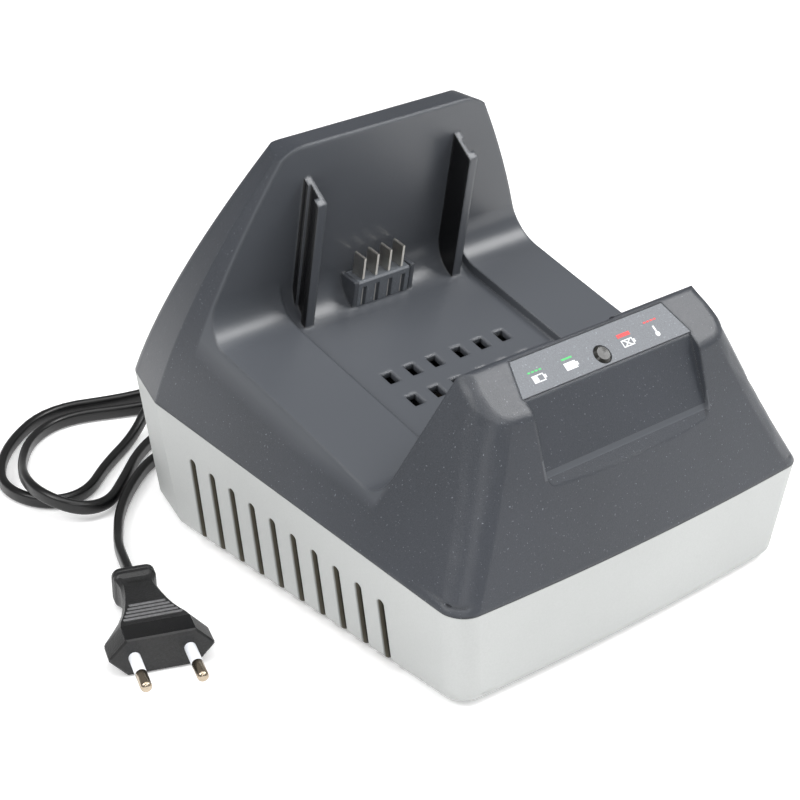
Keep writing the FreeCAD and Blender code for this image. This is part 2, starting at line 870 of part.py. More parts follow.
def base_housing():
    bottom, top = base_outline(0.0, size.foot_standing), level_outline(0.0, 0.0)
    shell = Part.makeLoft([bottom, top], True, True)
    rim = edges_of(shell, lambda e: abs(middle_of(e).z - size.foot_standing) < 0.01)
    shell = shell.makeFillet(size.base_round, rim)
    hollow = Part.makeLoft([base_outline(size.wall, FLOOR_Z), level_outline(0.0, size.wall, 0.01)], True, True)
    shell = shell.cut(hollow)
    inside = size.foot_standing + size.wall / 2
    additions = [seam_band(size.lip_inset, size.lip_inset + size.lip_thick, -size.wall, size.lip_tall)]
    tools = side_slots()
    for x, y in screw_places():
        additions.append(pipe_z(size.boss_radius, inside, seam_z(y), x, y))
        tools.append(pipe_z(size.screw_diameter / 2 + size.fit_gap, 0, ABOVE, x, y))
        tools.append(pipe_z(size.screw_head / 2 + size.part_gap, 0, size.screw_seat, x, y))
    for x, y in board_corners():
        additions.append(pipe_z(size.standoff_radius, inside, BOARD_Z, x, y))
        tools.append(pipe_z(STANDOFF_PILOT, FLOOR_Z, BOARD_Z + 1, x, y))
    for x, y in foot_places():
        seat = size.foot_standing + size.foot_recess
        tools.append(pipe_z(size.foot_diameter / 2 + size.fit_gap, 0, seat, x, y))
    before_back = Vector(size.exit_place, BACK - BEYOND / 2, size.exit_height)
    tools.append(Part.makeCylinder(size.relief_root / 2 + size.fit_gap, BEYOND, before_back, Vector(0, 1, 0)))
    return shell.fuse(additions + fan_cradle()).cut(tools).removeSplitter().Solids[0]


keep_shape(base_housing(), "base_housing")
keep_shape(upper_housing(), "upper_housing")

# Heights as expressions, for the pieces that stand inside
FLOOR = "foot_standing + wall"
UNDER_BOARD = FLOOR + " + board_standoff"
ON_BOARD = UNDER_BOARD + " + board_thick"


# Console: bezel, lens, indicator light and its board

SEAT_GAP = 0.05
LENS_RIM = 1.2
LED_RIM, LED_RIM_TALL = 0.4, 0.8
LED_TOP = "(indicator_drop - wall - lens_flange - part_gap)"


def console_pieces():
    frame = console_frame()
    corners = [("-bezel_front_half", "-bezel_long / 2"), ("bezel_front_half", "-bezel_long / 2"),
               ("bezel_back_half", "bezel_long / 2"), ("-bezel_back_half", "bezel_long / 2")]
    bezel = plate("indicator_bezel", corners, "bezel_thick")
    doc.recompute()
    window = bezel.newObject("Sketcher::SketchObject", "lens_window")
    window.AttachmentSupport = (origin_plane(bezel, "XY_Plane"), [""])
    window.MapMode = "FlatFace"
    window.addGeometry(Part.Circle(Vector(0, -size.lens_forward, 0), Vector(0, 0, 1), size.lens_diameter / 2))
    window.addConstraint(Sketcher.Constraint("PointOnObject", 0, 3, -2))
    drop = window.addConstraint(Sketcher.Constraint("DistanceY", -1, 1, 0, 3, -size.lens_forward))
    window.setExpression(f"Constraints[{drop}]", linked("-lens_forward"))
    radius = window.addConstraint(Sketcher.Constraint("Radius", 0, size.lens_diameter / 2))
    window.setExpression(f"Constraints[{radius}]", linked("lens_diameter / 2 + fit_gap"))
    doc.recompute()
    pocket = bezel.newObject("PartDesign::Pocket", "lens_window_cut")
    pocket.Profile = window
    pocket.Type = "ThroughAll"
    pocket.Reversed = True
    bezel.Placement = frame.multiply(Placement(Vector(0, 0, -size.bezel_thick), Rotation()))

    rim = f"lens_diameter / 2 + {LENS_RIM}"
    lens = turned("led_lens", [
        ("0", "-lens_flange"), (rim, "-lens_flange"), (rim, "0"), ("lens_diameter / 2", "0"),
        ("lens_diameter / 2", "wall"), ("lens_diameter / 2 - 0.9", "wall + 0.8 * lens_dome"),
        ("0", "wall + lens_dome")])
    lens.Placement = frame.multiply(Placement(Vector(0, -size.lens_forward, -size.wall - SEAT_GAP), Rotation()))

    board = Part.makeBox(size.indicator_wide, size.indicator_deep, size.board_thick,
                         Vector(-size.indicator_wide / 2, -size.lens_forward - size.indicator_deep / 2, 0))
    for x, y in indicator_places():
        board = board.cut(pipe_z(PILOT_RADIUS + size.fit_gap, -1, size.board_thick + 1, x, y))
    keep_shape(board, "indicator_board", frame.multiply(
        Placement(Vector(0, 0, -size.indicator_drop - size.board_thick), Rotation())))

    rim, rim_top = f"led_diameter / 2 + {LED_RIM}", str(LED_RIM_TALL)
    light = turned("status_led", [("0", "0"), (rim, "0"), (rim, rim_top), ("led_diameter / 2", rim_top),
                                  ("led_diameter / 2", LED_TOP + " - 1"),
                                  ("led_diameter / 2 - 1", LED_TOP + " - 0.2"), ("0", LED_TOP)])
    light.Placement = frame.multiply(Placement(Vector(0, -size.lens_forward, -size.indicator_drop), Rotation()))


console_pieces()


# Terminals: a moulded block with four blades in front of the wall

def blade_places():
    for i in range(4):
        yield i + 1, (i - 1.5) * size.blade_pitch


BLADE_SETBACK, BLADE_CHAMFER = 1.4, 0.35
BLOCK_CHAMFER, GROOVE_DEEP = 0.6, 1.2


def terminal_pieces():
    frame = wall_frame()
    half, deep = size.block_wide / 2, size.block_deep
    body = block(-half, half, -deep, -SEAT_GAP, -size.block_below, size.block_tall)
    edges = edges_of(body, lambda e: abs(middle_of(e).z - size.block_tall) < 0.01
                     and abs(middle_of(e).y + deep) < 0.01)
    body = body.makeChamfer(BLOCK_CHAMFER, edges)
    back = -BLADE_SETBACK
    for number, x in blade_places():
        room = size.blade_thick / 2
        slot = block(x - room, x + room, back - size.blade_deep, back, -BEYOND, BEYOND)
        groove = block(x - 2 * room, x + 2 * room, -deep - 1, -deep + GROOVE_DEEP, -1.0, size.block_tall - 2.5)
        body = body.cut([slot, groove])
        blade = doc.addObject("Part::Box", f"blade_{number}_strip")
        bind(blade, Length="blade_thick", Width="blade_deep",
             Height="block_tall + blade_above + block_below + blade_below")
        doc.recompute()
        tips = doc.addObject("Part::Chamfer", f"blade_{number}")
        tips.Base = blade
        top = blade.Height.Value
        tips.Edges = [(i + 1, BLADE_CHAMFER, BLADE_CHAMFER) for i, e in enumerate(blade.Shape.Edges)
                      if abs(middle_of(e).z - top) < 0.01 and abs(middle_of(e).y - size.blade_deep / 2) < 0.01]
        tips.Placement = frame.multiply(Placement(
            Vector(x - room, back - size.blade_deep, -size.block_below - size.blade_below), Rotation()))
        keep(tips, f"contact_blade_{number}")
    keep_shape(placed(body, frame), "terminal_block")


terminal_pieces()


# Leads and other tubes: straight runs joined by tangent arcs

def tube_path(points):
    """The edges of a rounded route and the radii of its bends. Each arc is as large as its two runs allow."""
    points = [Vector(*point) for point in points]
    edges, radii = [], []
    here = points[0]
    for before, corner, after in zip(points, points[1:], points[2:]):
        a, b = (before - corner), (after - corner)
        reach = 0.45 * min(a.Length, b.Length)
        a.normalize()
        b.normalize()
        half = a.getAngle(b) / 2
        radius = reach * math.tan(half)
        middle = corner + (a + b).normalize() * (radius / math.sin(half) - radius)
        start, end = corner + a * reach, corner + b * reach
        edges += [Part.LineSegment(here, start).toShape(), Part.Arc(start, middle, end).toShape()]
        radii.append(radius)
        here = end
    edges.append(Part.LineSegment(here, points[-1]).toShape())
    return edges, radii


def tube(edges, radius):
    """A round tube along edges that join smoothly."""
    path = Part.Wire(edges)
    start, way = edges[0].valueAt(edges[0].FirstParameter), edges[0].tangentAt(edges[0].FirstParameter)
    ring = Part.Wire([Part.makeCircle(radius, start, way)])
    return path.makePipeShell([ring], True, False)


def group(shapes):
    return Part.makeCompound(shapes)


# Main board and what stands on it

def drilled_board():
    sheet_of_board = box("board_sheet", "board_wide", "board_deep", "board_thick",
                         "board_centre - board_wide / 2", "-board_deep / 2", UNDER_BOARD)
    holes = []
    for sx in ("-", "+"):
        for sy in ("-", "+"):
            holes.append(rod(f"board_hole{len(holes)}", str(STANDOFF_PILOT + 0.35), "board_thick + 2",
                             f"board_centre {sx} (board_wide / 2 - board_edge)",
                             f"0 {sy} (board_deep / 2 - board_edge)", UNDER_BOARD + " - 1"))
    keep(cut("board_drilled", sheet_of_board, joined("board_holes", holes)), "main_board")


def screw(radius, head_radius, head_tall, length):
    """A pan-head screw with a cross recess, its head's underside at the origin and its shank downwards."""
    body = pipe_z(radius, -length, 0).fuse(Part.makeCone(head_radius, 0.75 * head_radius, head_tall))
    for turn in (0, 90):
        arm = block(-head_radius * 0.6, head_radius * 0.6, -head_radius * 0.13, head_radius * 0.13,
                    head_tall * 0.45, head_tall + 1)
        arm.rotate(Vector(0, 0, 0), Vector(0, 0, 1), turn)
        body = body.cut(arm)
    return body


def board_screws():
    shapes = []
    for x, y in board_corners():
        item = screw(STANDOFF_PILOT, 2 * STANDOFF_PILOT, 1.6, size.board_thick + 4.5)
        item.translate(Vector(x, y, BOARD_TOP))
        shapes.append(item)
    keep_shape(group(shapes), "board_screws")
    frame, shapes = console_frame(), []
    for x, y in indicator_places():
        item = screw(PILOT_RADIUS, 2 * PILOT_RADIUS, 1.2, size.board_thick + PILOT_DEEP - 1.0)
        item.rotate(Vector(0, 0, 0), Vector(1, 0, 0), 180)
        item.translate(Vector(x, y, -size.indicator_drop - size.board_thick))
        shapes.append(placed(item, frame))
    keep_shape(group(shapes), "indicator_screws")


def transformer():
    window_wide = "(core_wide / 2 - core_leg / 2 - core_yoke)"
    window_tall = "(core_tall - 2 * core_yoke)"
    front = "core_y - core_thick / 2"
    core = box("core_block", "core_wide", "core_thick", "core_tall", "core_x - core_wide / 2", front, ON_BOARD)
    left = f"core_x - core_leg / 2 - {window_wide}"
    windows = [box(f"core_window{i}", window_wide, "core_thick + 2", window_tall, place, front + " - 1",
                   ON_BOARD + " + core_yoke")
               for i, place in enumerate(("core_x + core_leg / 2", left))]
    keep(cut("core_cut", core, joined("core_windows", windows)), "transformer_core")
    coil = box("winding_block", f"core_leg + 2 * ({window_wide} - part_gap)", "core_thick + 2 * winding_proud",
               f"{window_tall} - 2 * part_gap", left + " + part_gap", front + " - winding_proud",
               ON_BOARD + " + core_yoke + part_gap")
    bore = box("winding_bore", "core_leg + 2 * part_gap", "core_thick + 2 * part_gap", "core_tall",
               "core_x - core_leg / 2 - part_gap", front + " - part_gap", ON_BOARD)
    keep(cut("winding_cut", coil, bore), "transformer_winding")


SINK_FINS, FIN_THICK, FIN_LIFT = 6, 1.4, 3


def heatsink(label, x, y, side):
    """An upright plate with fins towards one side; the parts it cools stand at its other face."""
    plate_x = x if side > 0 else f"{x} - sink_plate"
    fin_x = f"{x} + sink_plate" if side > 0 else f"{x} - sink_plate - sink_fin"
    pieces = [box(label + "_plate", "sink_plate", "sink_long", "sink_tall", plate_x, y, ON_BOARD)]
    for i in range(SINK_FINS):
        fin_y = f"{y} + {i} * (sink_long - {FIN_THICK}) / {SINK_FINS - 1}"
        pieces.append(box(f"{label}_fin{i}", "sink_fin", str(FIN_THICK), f"sink_tall - {FIN_LIFT}",
                          fin_x, fin_y, f"{ON_BOARD} + {FIN_LIFT}"))
    keep(joined(label + "_joined", pieces), label)


PRIMARY_X, SECONDARY_X = "(board_right - board_wide + sink_from_edge)", "(board_right - sink_from_edge)"
DEVICE_THICK, DEVICE_WIDE, DEVICE_TALL = 4.6, 10, 16
LEG_THICK, LEG_WIDE, LEG_LONG, LEG_PITCH, LEG_FROM_SINK = 0.6, 0.8, 6, 2.6, 2
DEVICE_PLACES = (6, 30)


def cooled(name, x, y, side):
    """A flat power part with a tab: it stands against a heatsink on three legs."""
    body_x = f"{x} - {DEVICE_THICK}" if side > 0 else x
    leg_x = f"{x} - {LEG_FROM_SINK + LEG_THICK}" if side > 0 else f"{x} + {LEG_FROM_SINK}"
    pieces = [box(name + "_body", str(DEVICE_THICK), str(DEVICE_WIDE), str(DEVICE_TALL),
                  body_x, y, f"{ON_BOARD} + {LEG_LONG}")]
    for i in range(3):
        pieces.append(box(f"{name}_leg{i}", str(LEG_THICK), str(LEG_WIDE), str(LEG_LONG),
                          leg_x, f"{y} + {2 + i * LEG_PITCH}", ON_BOARD))
    return joined(name, pieces)


def power_parts():
    for sink, devices, x, y, side in (
            ("primary_heatsink", "power_transistors", PRIMARY_X, "primary_sink_y", -1),
            ("secondary_heatsink", "output_rectifiers", SECONDARY_X, "secondary_sink_y", 1)):
        heatsink(sink, x, y, side)
        pair = doc.addObject("Part::Compound", devices + "_pair")
        pair.Links = [cooled(f"{devices}_{i}", x, f"{y} + {place}", side)
                      for i, place in enumerate(DEVICE_PLACES)]
        keep(pair, devices)


GROOVE_RADIUS, GROOVE_OUT, GROOVE_UP = 0.8, 0.35, 3.5


def can(name, diameter, tall, x, y):
    """A can capacitor with a crimped groove near its foot."""
    body = rod(name + "_can", f"{diameter} / 2", tall, x, y, ON_BOARD)
    ring = doc.addObject("Part::Torus", name + "_groove")
    bind(ring, Radius1=f"{diameter} / 2 + {GROOVE_OUT}", Radius2=str(GROOVE_RADIUS))
    stand(ring, x, y, f"{ON_BOARD} + {GROOVE_UP}")
    return cut(name, body, ring)


INLET_MOUTH_RADIUS, INLET_MOUTH_UP = 1.3, 6


def board_parts():
    keep(can("bulk_can", "bulk_diameter", "bulk_tall", "bulk_x", "bulk_y"), "bulk_capacitor")
    row = doc.addObject("Part::Compound", "output_cans")
    row.Links = [can(f"output_can{i}", "can_diameter", "can_tall",
                     f"{SECONDARY_X} - can_from_sink - {i} * can_pitch", "can_y") for i in range(3)]
    keep(row, "output_capacitors")

    ring = doc.addObject("Part::Torus", "choke_ring")
    bind(ring, Radius1="choke_radius", Radius2="choke_winding")
    stand(ring, "choke_x", "choke_y", ON_BOARD + " + choke_seat_tall / 2 + choke_winding")
    seat = box("choke_plate", "choke_seat", "choke_seat", "choke_seat_tall",
               "choke_x - choke_seat / 2", "choke_y - choke_seat / 2", ON_BOARD)
    keep(joined("choke", [ring, seat]), "mains_choke")

    fuse = doc.addObject("Part::Cylinder", "fuse_glass")
    bind(fuse, Radius="fuse_radius", Height="fuse_long")
    fuse.Placement.Rotation = Rotation(Vector(0, 1, 0), 90)
    stand(fuse, "board_right - fuse_from_edge", "fuse_y", ON_BOARD + " + 2 * fuse_radius")
    clips = [box(f"fuse_clip{i}", "clip_long", "clip_wide", "clip_tall",
                 f"board_right - fuse_from_edge + {i} * (fuse_long - clip_long)",
                 "fuse_y - clip_wide / 2", ON_BOARD)
             for i in range(2)]
    keep(joined("fuse_in_clips", [fuse] + clips), "mains_fuse")
    keep(box("relay_case", "relay_long", "relay_deep", "relay_tall", "relay_x", "relay_y", ON_BOARD), "relay")

    body = box("inlet_body", "inlet_long", "inlet_deep", "inlet_tall",
               "exit_place - inlet_aside", "inlet_y", ON_BOARD)
    mouths = [rod(f"inlet_mouth{i}", str(INLET_MOUTH_RADIUS), "inlet_tall",
                  f"exit_place - inlet_aside + inlet_long / 2 + ({i} - 0.5) * inlet_pitch",
                  "inlet_y + inlet_deep / 2", f"{ON_BOARD} + {INLET_MOUTH_UP}") for i in range(2)]
    keep(cut("inlet_cut", body, joined("inlet_mouths", mouths)), "mains_inlet_block")


drilled_board()
board_screws()
transformer()
power_parts()
board_parts()


# Fan: a frame on the floor of the base, its stator, bearing and rotor on an axis along X

FAN_Z = FLOOR_Z + size.fan_side / 2


def along_x(radius, x0, x1):
    return Part.makeCylinder(radius, x1 - x0, Vector(x0, 0, 0), Vector(1, 0, 0))


def ring_x(outer, inner, x0, x1):
    return along_x(outer, x0, x1).cut(along_x(inner, x0 - 1, x1 + 1))


def fan_blade(inner, outer, x0, x1, turn):
    """One swept blade: a thin loft that twists from the hub to the tip."""
    sections = []
    for radius, pitch in ((inner, 42.0), ((inner + outer) / 2, 34.0), (outer, 27.0)):
        half, thick = (x1 - x0) / 2, 0.55
        reach = half / math.tan(math.radians(pitch))
        corners = [Vector(-half, -reach, radius), Vector(half, reach, radius),
                   Vector(half - thick, reach, radius), Vector(-half - thick, -reach, radius)]
        corners = [c + Vector((x0 + x1) / 2 + thick / 2, 0, 0) for c in corners]
        sections.append(Part.makePolygon(corners + corners[:1]))
    blade = Part.makeLoft(sections, True, True).common(along_x(outer, x0 - 1, x1 + 1))
    blade.rotate(Vector(0, 0, 0), Vector(1, 0, 0), turn)
    return blade


PLATE_THICK, SPOKE_WIDE, TUBE_WALL, STATOR_LONG, SCREW_HOLE = 1.6, 3.0, 0.9, 6.0, 2.15


def fan_pieces():
    half, thick, hub = size.fan_side / 2, size.fan_thick / 2, size.hub_diameter / 2
    place = Placement(Vector(size.fan_place, size.fan_back, FAN_Z), Rotation())
    tube_radius = size.bearing_diameter / 2 + TUBE_WALL
    body = block(-thick, thick, -half, half, -half, half).cut(along_x(size.fan_bore / 2, -thick - 1, thick + 1))
    corner = half - 5.0
    for y in (-corner, corner):
        for z in (-corner, corner):
            before = Vector(-thick - 1, y, z)
            body = body.cut(Part.makeCylinder(SCREW_HOLE, 2 * thick + 2, before, Vector(1, 0, 0)))
    inner_face = -thick + PLATE_THICK
    spokes = [block(-thick, inner_face, -SPOKE_WIDE / 2, SPOKE_WIDE / 2, 0, size.fan_bore / 2 + 0.5)
              for _ in range(3)]
    for i, spoke in enumerate(spokes):
        spoke.rotate(Vector(0, 0, 0), Vector(1, 0, 0), 30 + 120 * i)
    stem_end = thick - size.hub_wall - 2.0
    body = body.fuse(spokes + [along_x(hub, -thick, inner_face), along_x(tube_radius, -thick, stem_end)])
    body = body.cut(along_x(size.bearing_diameter / 2, inner_face, stem_end + 1))
    keep_shape(body.removeSplitter(), "fan_frame", place)

    bearing_bore = size.shaft_diameter / 2 + size.running_gap
    bearing = ring_x(size.bearing_diameter / 2, bearing_bore, inner_face, stem_end)
    keep_shape(bearing, "fan_bearing", place)

    cup_inside = hub - size.hub_wall
    coil_outer = cup_inside - 2 * size.part_gap
    stator = ring_x(coil_outer * 0.62, tube_radius, inner_face, inner_face + STATOR_LONG)
    for i in range(4):
        pole = block(inner_face, inner_face + STATOR_LONG, -2.0, 2.0, tube_radius + 0.8, coil_outer - 0.6)
        shoe = ring_x(coil_outer, coil_outer - 1.2, inner_face, inner_face + STATOR_LONG).common(
            block(inner_face, inner_face + STATOR_LONG, -4.2, 4.2, 0, BEYOND))
        pole = pole.fuse(shoe)
        pole.rotate(Vector(0, 0, 0), Vector(1, 0, 0), 90 * i)
        stator = stator.fuse(pole)
    keep_shape(stator.removeSplitter(), "fan_stator", place)

    mouth = inner_face + 2 * size.part_gap
    rotor = along_x(hub, mouth, thick - 0.5).cut(along_x(cup_inside, mouth - 1, thick - 0.5 - size.hub_wall))
    shaft_end = thick - 0.5 - size.hub_wall / 2
    rotor = rotor.fuse(along_x(size.shaft_diameter / 2, inner_face + size.part_gap, shaft_end))
    apart = 360.0 / size.fan_blade_count
    blades = [fan_blade(hub - 0.6, size.fan_blade_reach, mouth + 0.6, thick - 0.7, apart * i)
              for i in range(int(size.fan_blade_count))]
    keep_shape(rotor.fuse(blades).removeSplitter(), "fan_rotor", place)


fan_pieces()


# The strain relief's two seats on the sloping back wall: its flanges clear the wall at their nearest edge
RELIEF_INSIDE = wall_inside(size.exit_height - size.relief_flange / 2) - size.running_gap
RELIEF_OUTSIDE = wall_back(size.exit_height + size.relief_flange / 2) + size.running_gap


# Wiring inside

WIRE, THIN_WIRE = 0.9, 0.6


def wire_group(label, routes, radius):
    keep_shape(group([tube(tube_path(route)[0], radius) for route in routes]), label)


def mains_wires():
    """From the strain relief to the terminals of the mains inlet."""
    mouth = BOARD_TOP + INLET_MOUTH_UP
    gland = RELIEF_INSIDE - FLANGE_THICK
    middle = size.inlet_y + size.inlet_deep / 2
    routes = []
    for i in range(2):
        x_end = size.exit_place - size.inlet_aside + size.inlet_long / 2 + (i - 0.5) * size.inlet_pitch
        x = size.exit_place - 1.5 + 3 * i
        routes.append([(x, gland, size.exit_height), (x, gland - 6, size.exit_height),
                       (x - 3 - 3 * (1 - i), gland - 14, mouth + 14), (x_end + 0.5, middle + 3, mouth + 14),
                       (x_end, middle, mouth + 7), (x_end, middle, mouth)])
    return routes


def output_wires():
    """From the feet of the contact blades down to the board."""
    frame, routes = wall_frame(), []
    middle, low = -BLADE_SETBACK - size.blade_deep / 2, -size.block_below - size.blade_below
    for number, x in blade_places():
        tail, down = frame.multVec(Vector(x, middle, low)), frame.multVec(Vector(x, middle, low - 6))
        foot = size.board_centre - 18 + 8 * number
        routes.append([tuple(tail), tuple(down), (x + 1, down.y, down.z - 12), (foot - 1, 48, BOARD_TOP + 14),
                       (foot, 48.5, BOARD_TOP + 6), (foot, 48.5, BOARD_TOP)])
    return routes


def indicator_wires():
    """From the indicator board down to the main board."""
    frame, routes = console_frame(), []
    low = -size.indicator_drop - size.board_thick
    for i in range(3):
        x = 3 + 1.5 * i
        start, below = frame.multVec(Vector(x, -3, low)), frame.multVec(Vector(x, -3, low - 6))
        routes.append([tuple(start), tuple(below), (x, below.y + 2.5, 64), (x + 1, -59, 44),
                       (x, -60, BOARD_TOP + 12), (x, -60, BOARD_TOP)])
    return routes


def fan_wires():
    """From the fan's frame to the edge of the board."""
    face = size.fan_place + size.fan_thick / 2
    leave = FAN_Z - size.fan_side / 2 + 17.5
    routes = []
    for i in range(2):
        y = size.fan_back + 20 + 2 * i
        routes.append([(face, y, leave), (face + 4, y, leave), (face + 8, y + 1, leave + 4),
                       (face + 12, y, BOARD_TOP + 5), (face + 12, y, BOARD_TOP)])
    return routes


wire_group("mains_leads", mains_wires(), WIRE)
wire_group("output_leads", output_wires(), WIRE)
wire_group("indicator_leads", indicator_wires(), THIN_WIRE)
wire_group("fan_lead", fan_wires(), THIN_WIRE)


# Fasteners and feet

def case_screws():
    shapes = []
    for x, y in screw_places():
        length = seam_z(y) + size.part_gap + size.screw_bite - size.screw_seat
        item = screw(size.screw_diameter / 2 - size.fit_gap, size.screw_head / 2, size.screw_head_tall, length)
        item.rotate(Vector(0, 0, 0), Vector(1, 0, 0), 180)
        item.translate(Vector(x, y, size.screw_seat))
        shapes.append(item)
    keep_shape(group(shapes), "case_screws")


def rubber_feet():
    top = "foot_standing + foot_recess"
    for number, (sx, sy) in enumerate((("-", "-"), ("", "-"), ("-", ""), ("", "")), start=1):
        foot = turned(f"rubber_foot_{number}", [
            ("0", "0"), ("foot_diameter / 2 - 0.6", "0"), ("foot_diameter / 2", "0.6"),
            ("foot_diameter / 2", top), ("0", top)])
        stand(foot, f"{sx}foot_spread_x", f"{sy}foot_spread_y", "0")


case_screws()
rubber_feet()


# Mains lead: strain relief, cord, coil and plug

def strain_relief():
    """A moulded sleeve that is held in the back wall by two flanges and tapers over the cord."""
    inside, outside = RELIEF_INSIDE, RELIEF_OUTSIDE
    root, tip, flange = size.relief_root / 2, size.relief_tip / 2, size.relief_flange / 2
    start, long = outside + FLANGE_THICK, size.relief_long
    corners = [(0, inside - FLANGE_THICK), (flange, inside - FLANGE_THICK), (flange, inside), (root, inside),
               (root, outside), (flange, outside), (flange, start), (root, start)]
    count = 5
    for i in range(count):
        for share, drop in ((0.55, 0.0), (0.55, 0.7), (1.0, 0.7), (1.0, 0.0)):
            along = (i + share) / (count + 1)
            corners.append((root + (tip - root) * along - drop, start + long * along))
    corners += [(tip, start + long), (0, start + long)]
    outline = [Vector(0, y, r) for r, y in corners]
    body = Part.Face(Part.makePolygon(outline + outline[:1])).revolve(Vector(0, 0, 0), Vector(0, 1, 0), 360)
    body = body.copy()
    keep_shape(body, "strain_relief", Placement(Vector(size.exit_place, 0, size.exit_height), Rotation()))
    return start + long


RELIEF_END = strain_relief()
ON_FLOOR = size.cord_diameter / 2 + size.running_gap
TIE_THICK, TIE_WIDE, TIE_GAP = 0.8, 4.0, 0.5
FIRST_LAYER = ON_FLOOR + TIE_THICK + 2 * size.running_gap
TOP_LAYER = FIRST_LAYER + size.cord_diameter + size.cord_gap


def quarter(start, corner, end):
    """A circular arc from start to end that is tangent to the two equal legs that meet at corner."""
    a, b = start - corner, end - corner
    half = Vector(a).getAngle(b) / 2
    reach = a.Length
    middle = corner + (Vector(a).normalize() + Vector(b).normalize()).normalize() * (
        reach / math.cos(half) - reach * math.tan(half))
    return Part.Arc(start, middle, end).toShape()


def half_turn(start, end, way):
    """Two quarter arcs from start to end, which set off along way and arrive along its opposite."""
    leg = (end - start).Length / 2
    first, second = start + way * leg, end + way * leg
    middle = (first + second) / 2
    return [quarter(start, first, middle), quarter(middle, second, end)]


IN_TURNS = 3


def coil_path():
    """A flat spiral inwards on the floor, one climb, and a spiral outwards on top of it."""
    centre = Vector(size.coil_x, size.coil_y, 0)
    step = size.coil_pitch / 2
    radii = [size.coil_radius - step * i for i in range(IN_TURNS + 1)]
    radii += radii[::-1]
    heights = [FIRST_LAYER] * (IN_TURNS + 1) + [TOP_LAYER] * (IN_TURNS + 1)
    stops = [centre + Vector(0, radius * (-1) ** i, height)
             for i, (radius, height) in enumerate(zip(radii, heights))]
    lead_in = stops[0] - Vector(size.cord_diameter, 0, 0)
    edges = [Part.LineSegment(lead_in, stops[0]).toShape()]
    for i, (start, end) in enumerate(zip(stops, stops[1:])):
        edges += half_turn(start, end, Vector((-1) ** i, 0, 0))
    last = stops[-1]
    side = (-1) ** (len(stops) - 1)
    turn = math.radians(size.coil_leave)
    radius = size.coil_radius + step / 2
    hub = last - Vector(0, radius * side, 0)

    def around(angle):
        return hub + Vector(side * radius * math.sin(angle), side * radius * math.cos(angle), 0)

    way = Vector(side * math.cos(turn), -side * math.sin(turn), 0)
    end = around(turn)
    edges.append(Part.Arc(last, around(turn / 2), end).toShape())
    edges.append(Part.LineSegment(end, end + way * size.cord_diameter).toShape())
    return edges, lead_in, end + way * size.cord_diameter, way


def least_gap(edges, diameter, skip=3.0):
    """The least gap of a tube to itself. Points on its line less than skip diameters apart aren't compared."""
    path = Part.Wire(edges)
    points = path.discretize(Number=600)
    step = path.Length / (len(points) - 1)
    jump = int(skip * diameter / step)
    return min(points[i].distanceToPoint(points[j])
               for i in range(len(points)) for j in range(i + jump, len(points))) - diameter


def coil_tie():
    """A strap round all the turns at the coil's right side."""
    radius, step = size.cord_diameter / 2, size.coil_pitch / 2
    reach = size.coil_radius - step / 2
    near, far = reach - step * (IN_TURNS - 1) - radius - TIE_GAP, reach + radius + TIE_GAP
    low, high = FIRST_LAYER - radius - size.running_gap, TOP_LAYER + radius + TIE_GAP
    thick = TIE_THICK

    def loop(grow):
        points = [Vector(x, -TIE_WIDE / 2, z) for x, z in (
            (near - grow, low - grow), (far + grow, low - grow),
            (far + grow, high + grow), (near - grow, high + grow))]
        return bar(rounded(points, [1.0 + grow] * 4), Vector(0, TIE_WIDE, 0))

    in_coil = Placement(Vector(size.coil_x, size.coil_y, 0), Rotation())
    keep_shape(loop(thick).cut(loop(0.0)), "coil_tie", in_coil)


PLUG_X, PLUG_Y, PLUG_TURN, PLUG_LONG = -133.8, -6.7, -112.0, 46.0
PLUG_Z = size.plug_tall / 2 + 2 * size.running_gap
PLUG_WAY = Vector(math.cos(math.radians(PLUG_TURN)), math.sin(math.radians(PLUG_TURN)), 0)
PLUG_TAIL = Vector(PLUG_X, PLUG_Y, PLUG_Z) - PLUG_WAY * PLUG_LONG


def cord_routes():
    """The cord's two free stretches. One runs from the charger to the coil, with the outer loop.
    The other runs from the coil to the plug, with the inner loop and the run beside the charger."""
    z, hump = ON_FLOOR, ON_FLOOR + size.cord_diameter + 1.5 * size.cord_gap
    start = (size.exit_place, RELIEF_END, size.exit_height)
    near = [start, (size.exit_place, RELIEF_END + 15, size.exit_height), (15, 151, 15), (1, 156, 6.5),
            (-12, 157.5, z), (-36, 160, z), (-66, 173, z), (-97, 158, z), (-114, 136, z),
            (-115.5, 119.5, z), (-106, 106, z),
            (-90, 105, z), (-74, 118, z), (-52, 131, z), (-38, 140, hump), (-6, 163, hump), (8, 176, 5.5),
            (26, COIL_ENTRY.y, COIL_ENTRY.z), tuple(COIL_ENTRY)]
    out = COIL_EXIT + COIL_WAY * 15
    tail = PLUG_TAIL - PLUG_WAY * 12
    far = [tuple(COIL_EXIT), tuple(out), (2, 137.5, 5.2), (-14, 143.5, z), (-38, 150.5, z),
           (-64, 163, z), (-84, 156, z), (-99, 138, 4.2),
           (-107.5, 121, hump), (-107.5, 105.5, hump), (-99.5, 97, hump), (-88.5, 97, 5.2),
           (-74.5, 107.8, z), (-55, 121.5, z), (-29, 131.5, z), (-8, 134.2, z), (10, 124.2, z), (10, 103.6, z),
           (-8, 93.2, z), (-27, 101, z), (-41, 113, z), (-58, 111, z), (-76, 98, z), (-90, 84.5, z),
           (-99.5, 71, z), (-106, 60.5, 5.0), tuple(tail), tuple(PLUG_TAIL)]
    return near, far


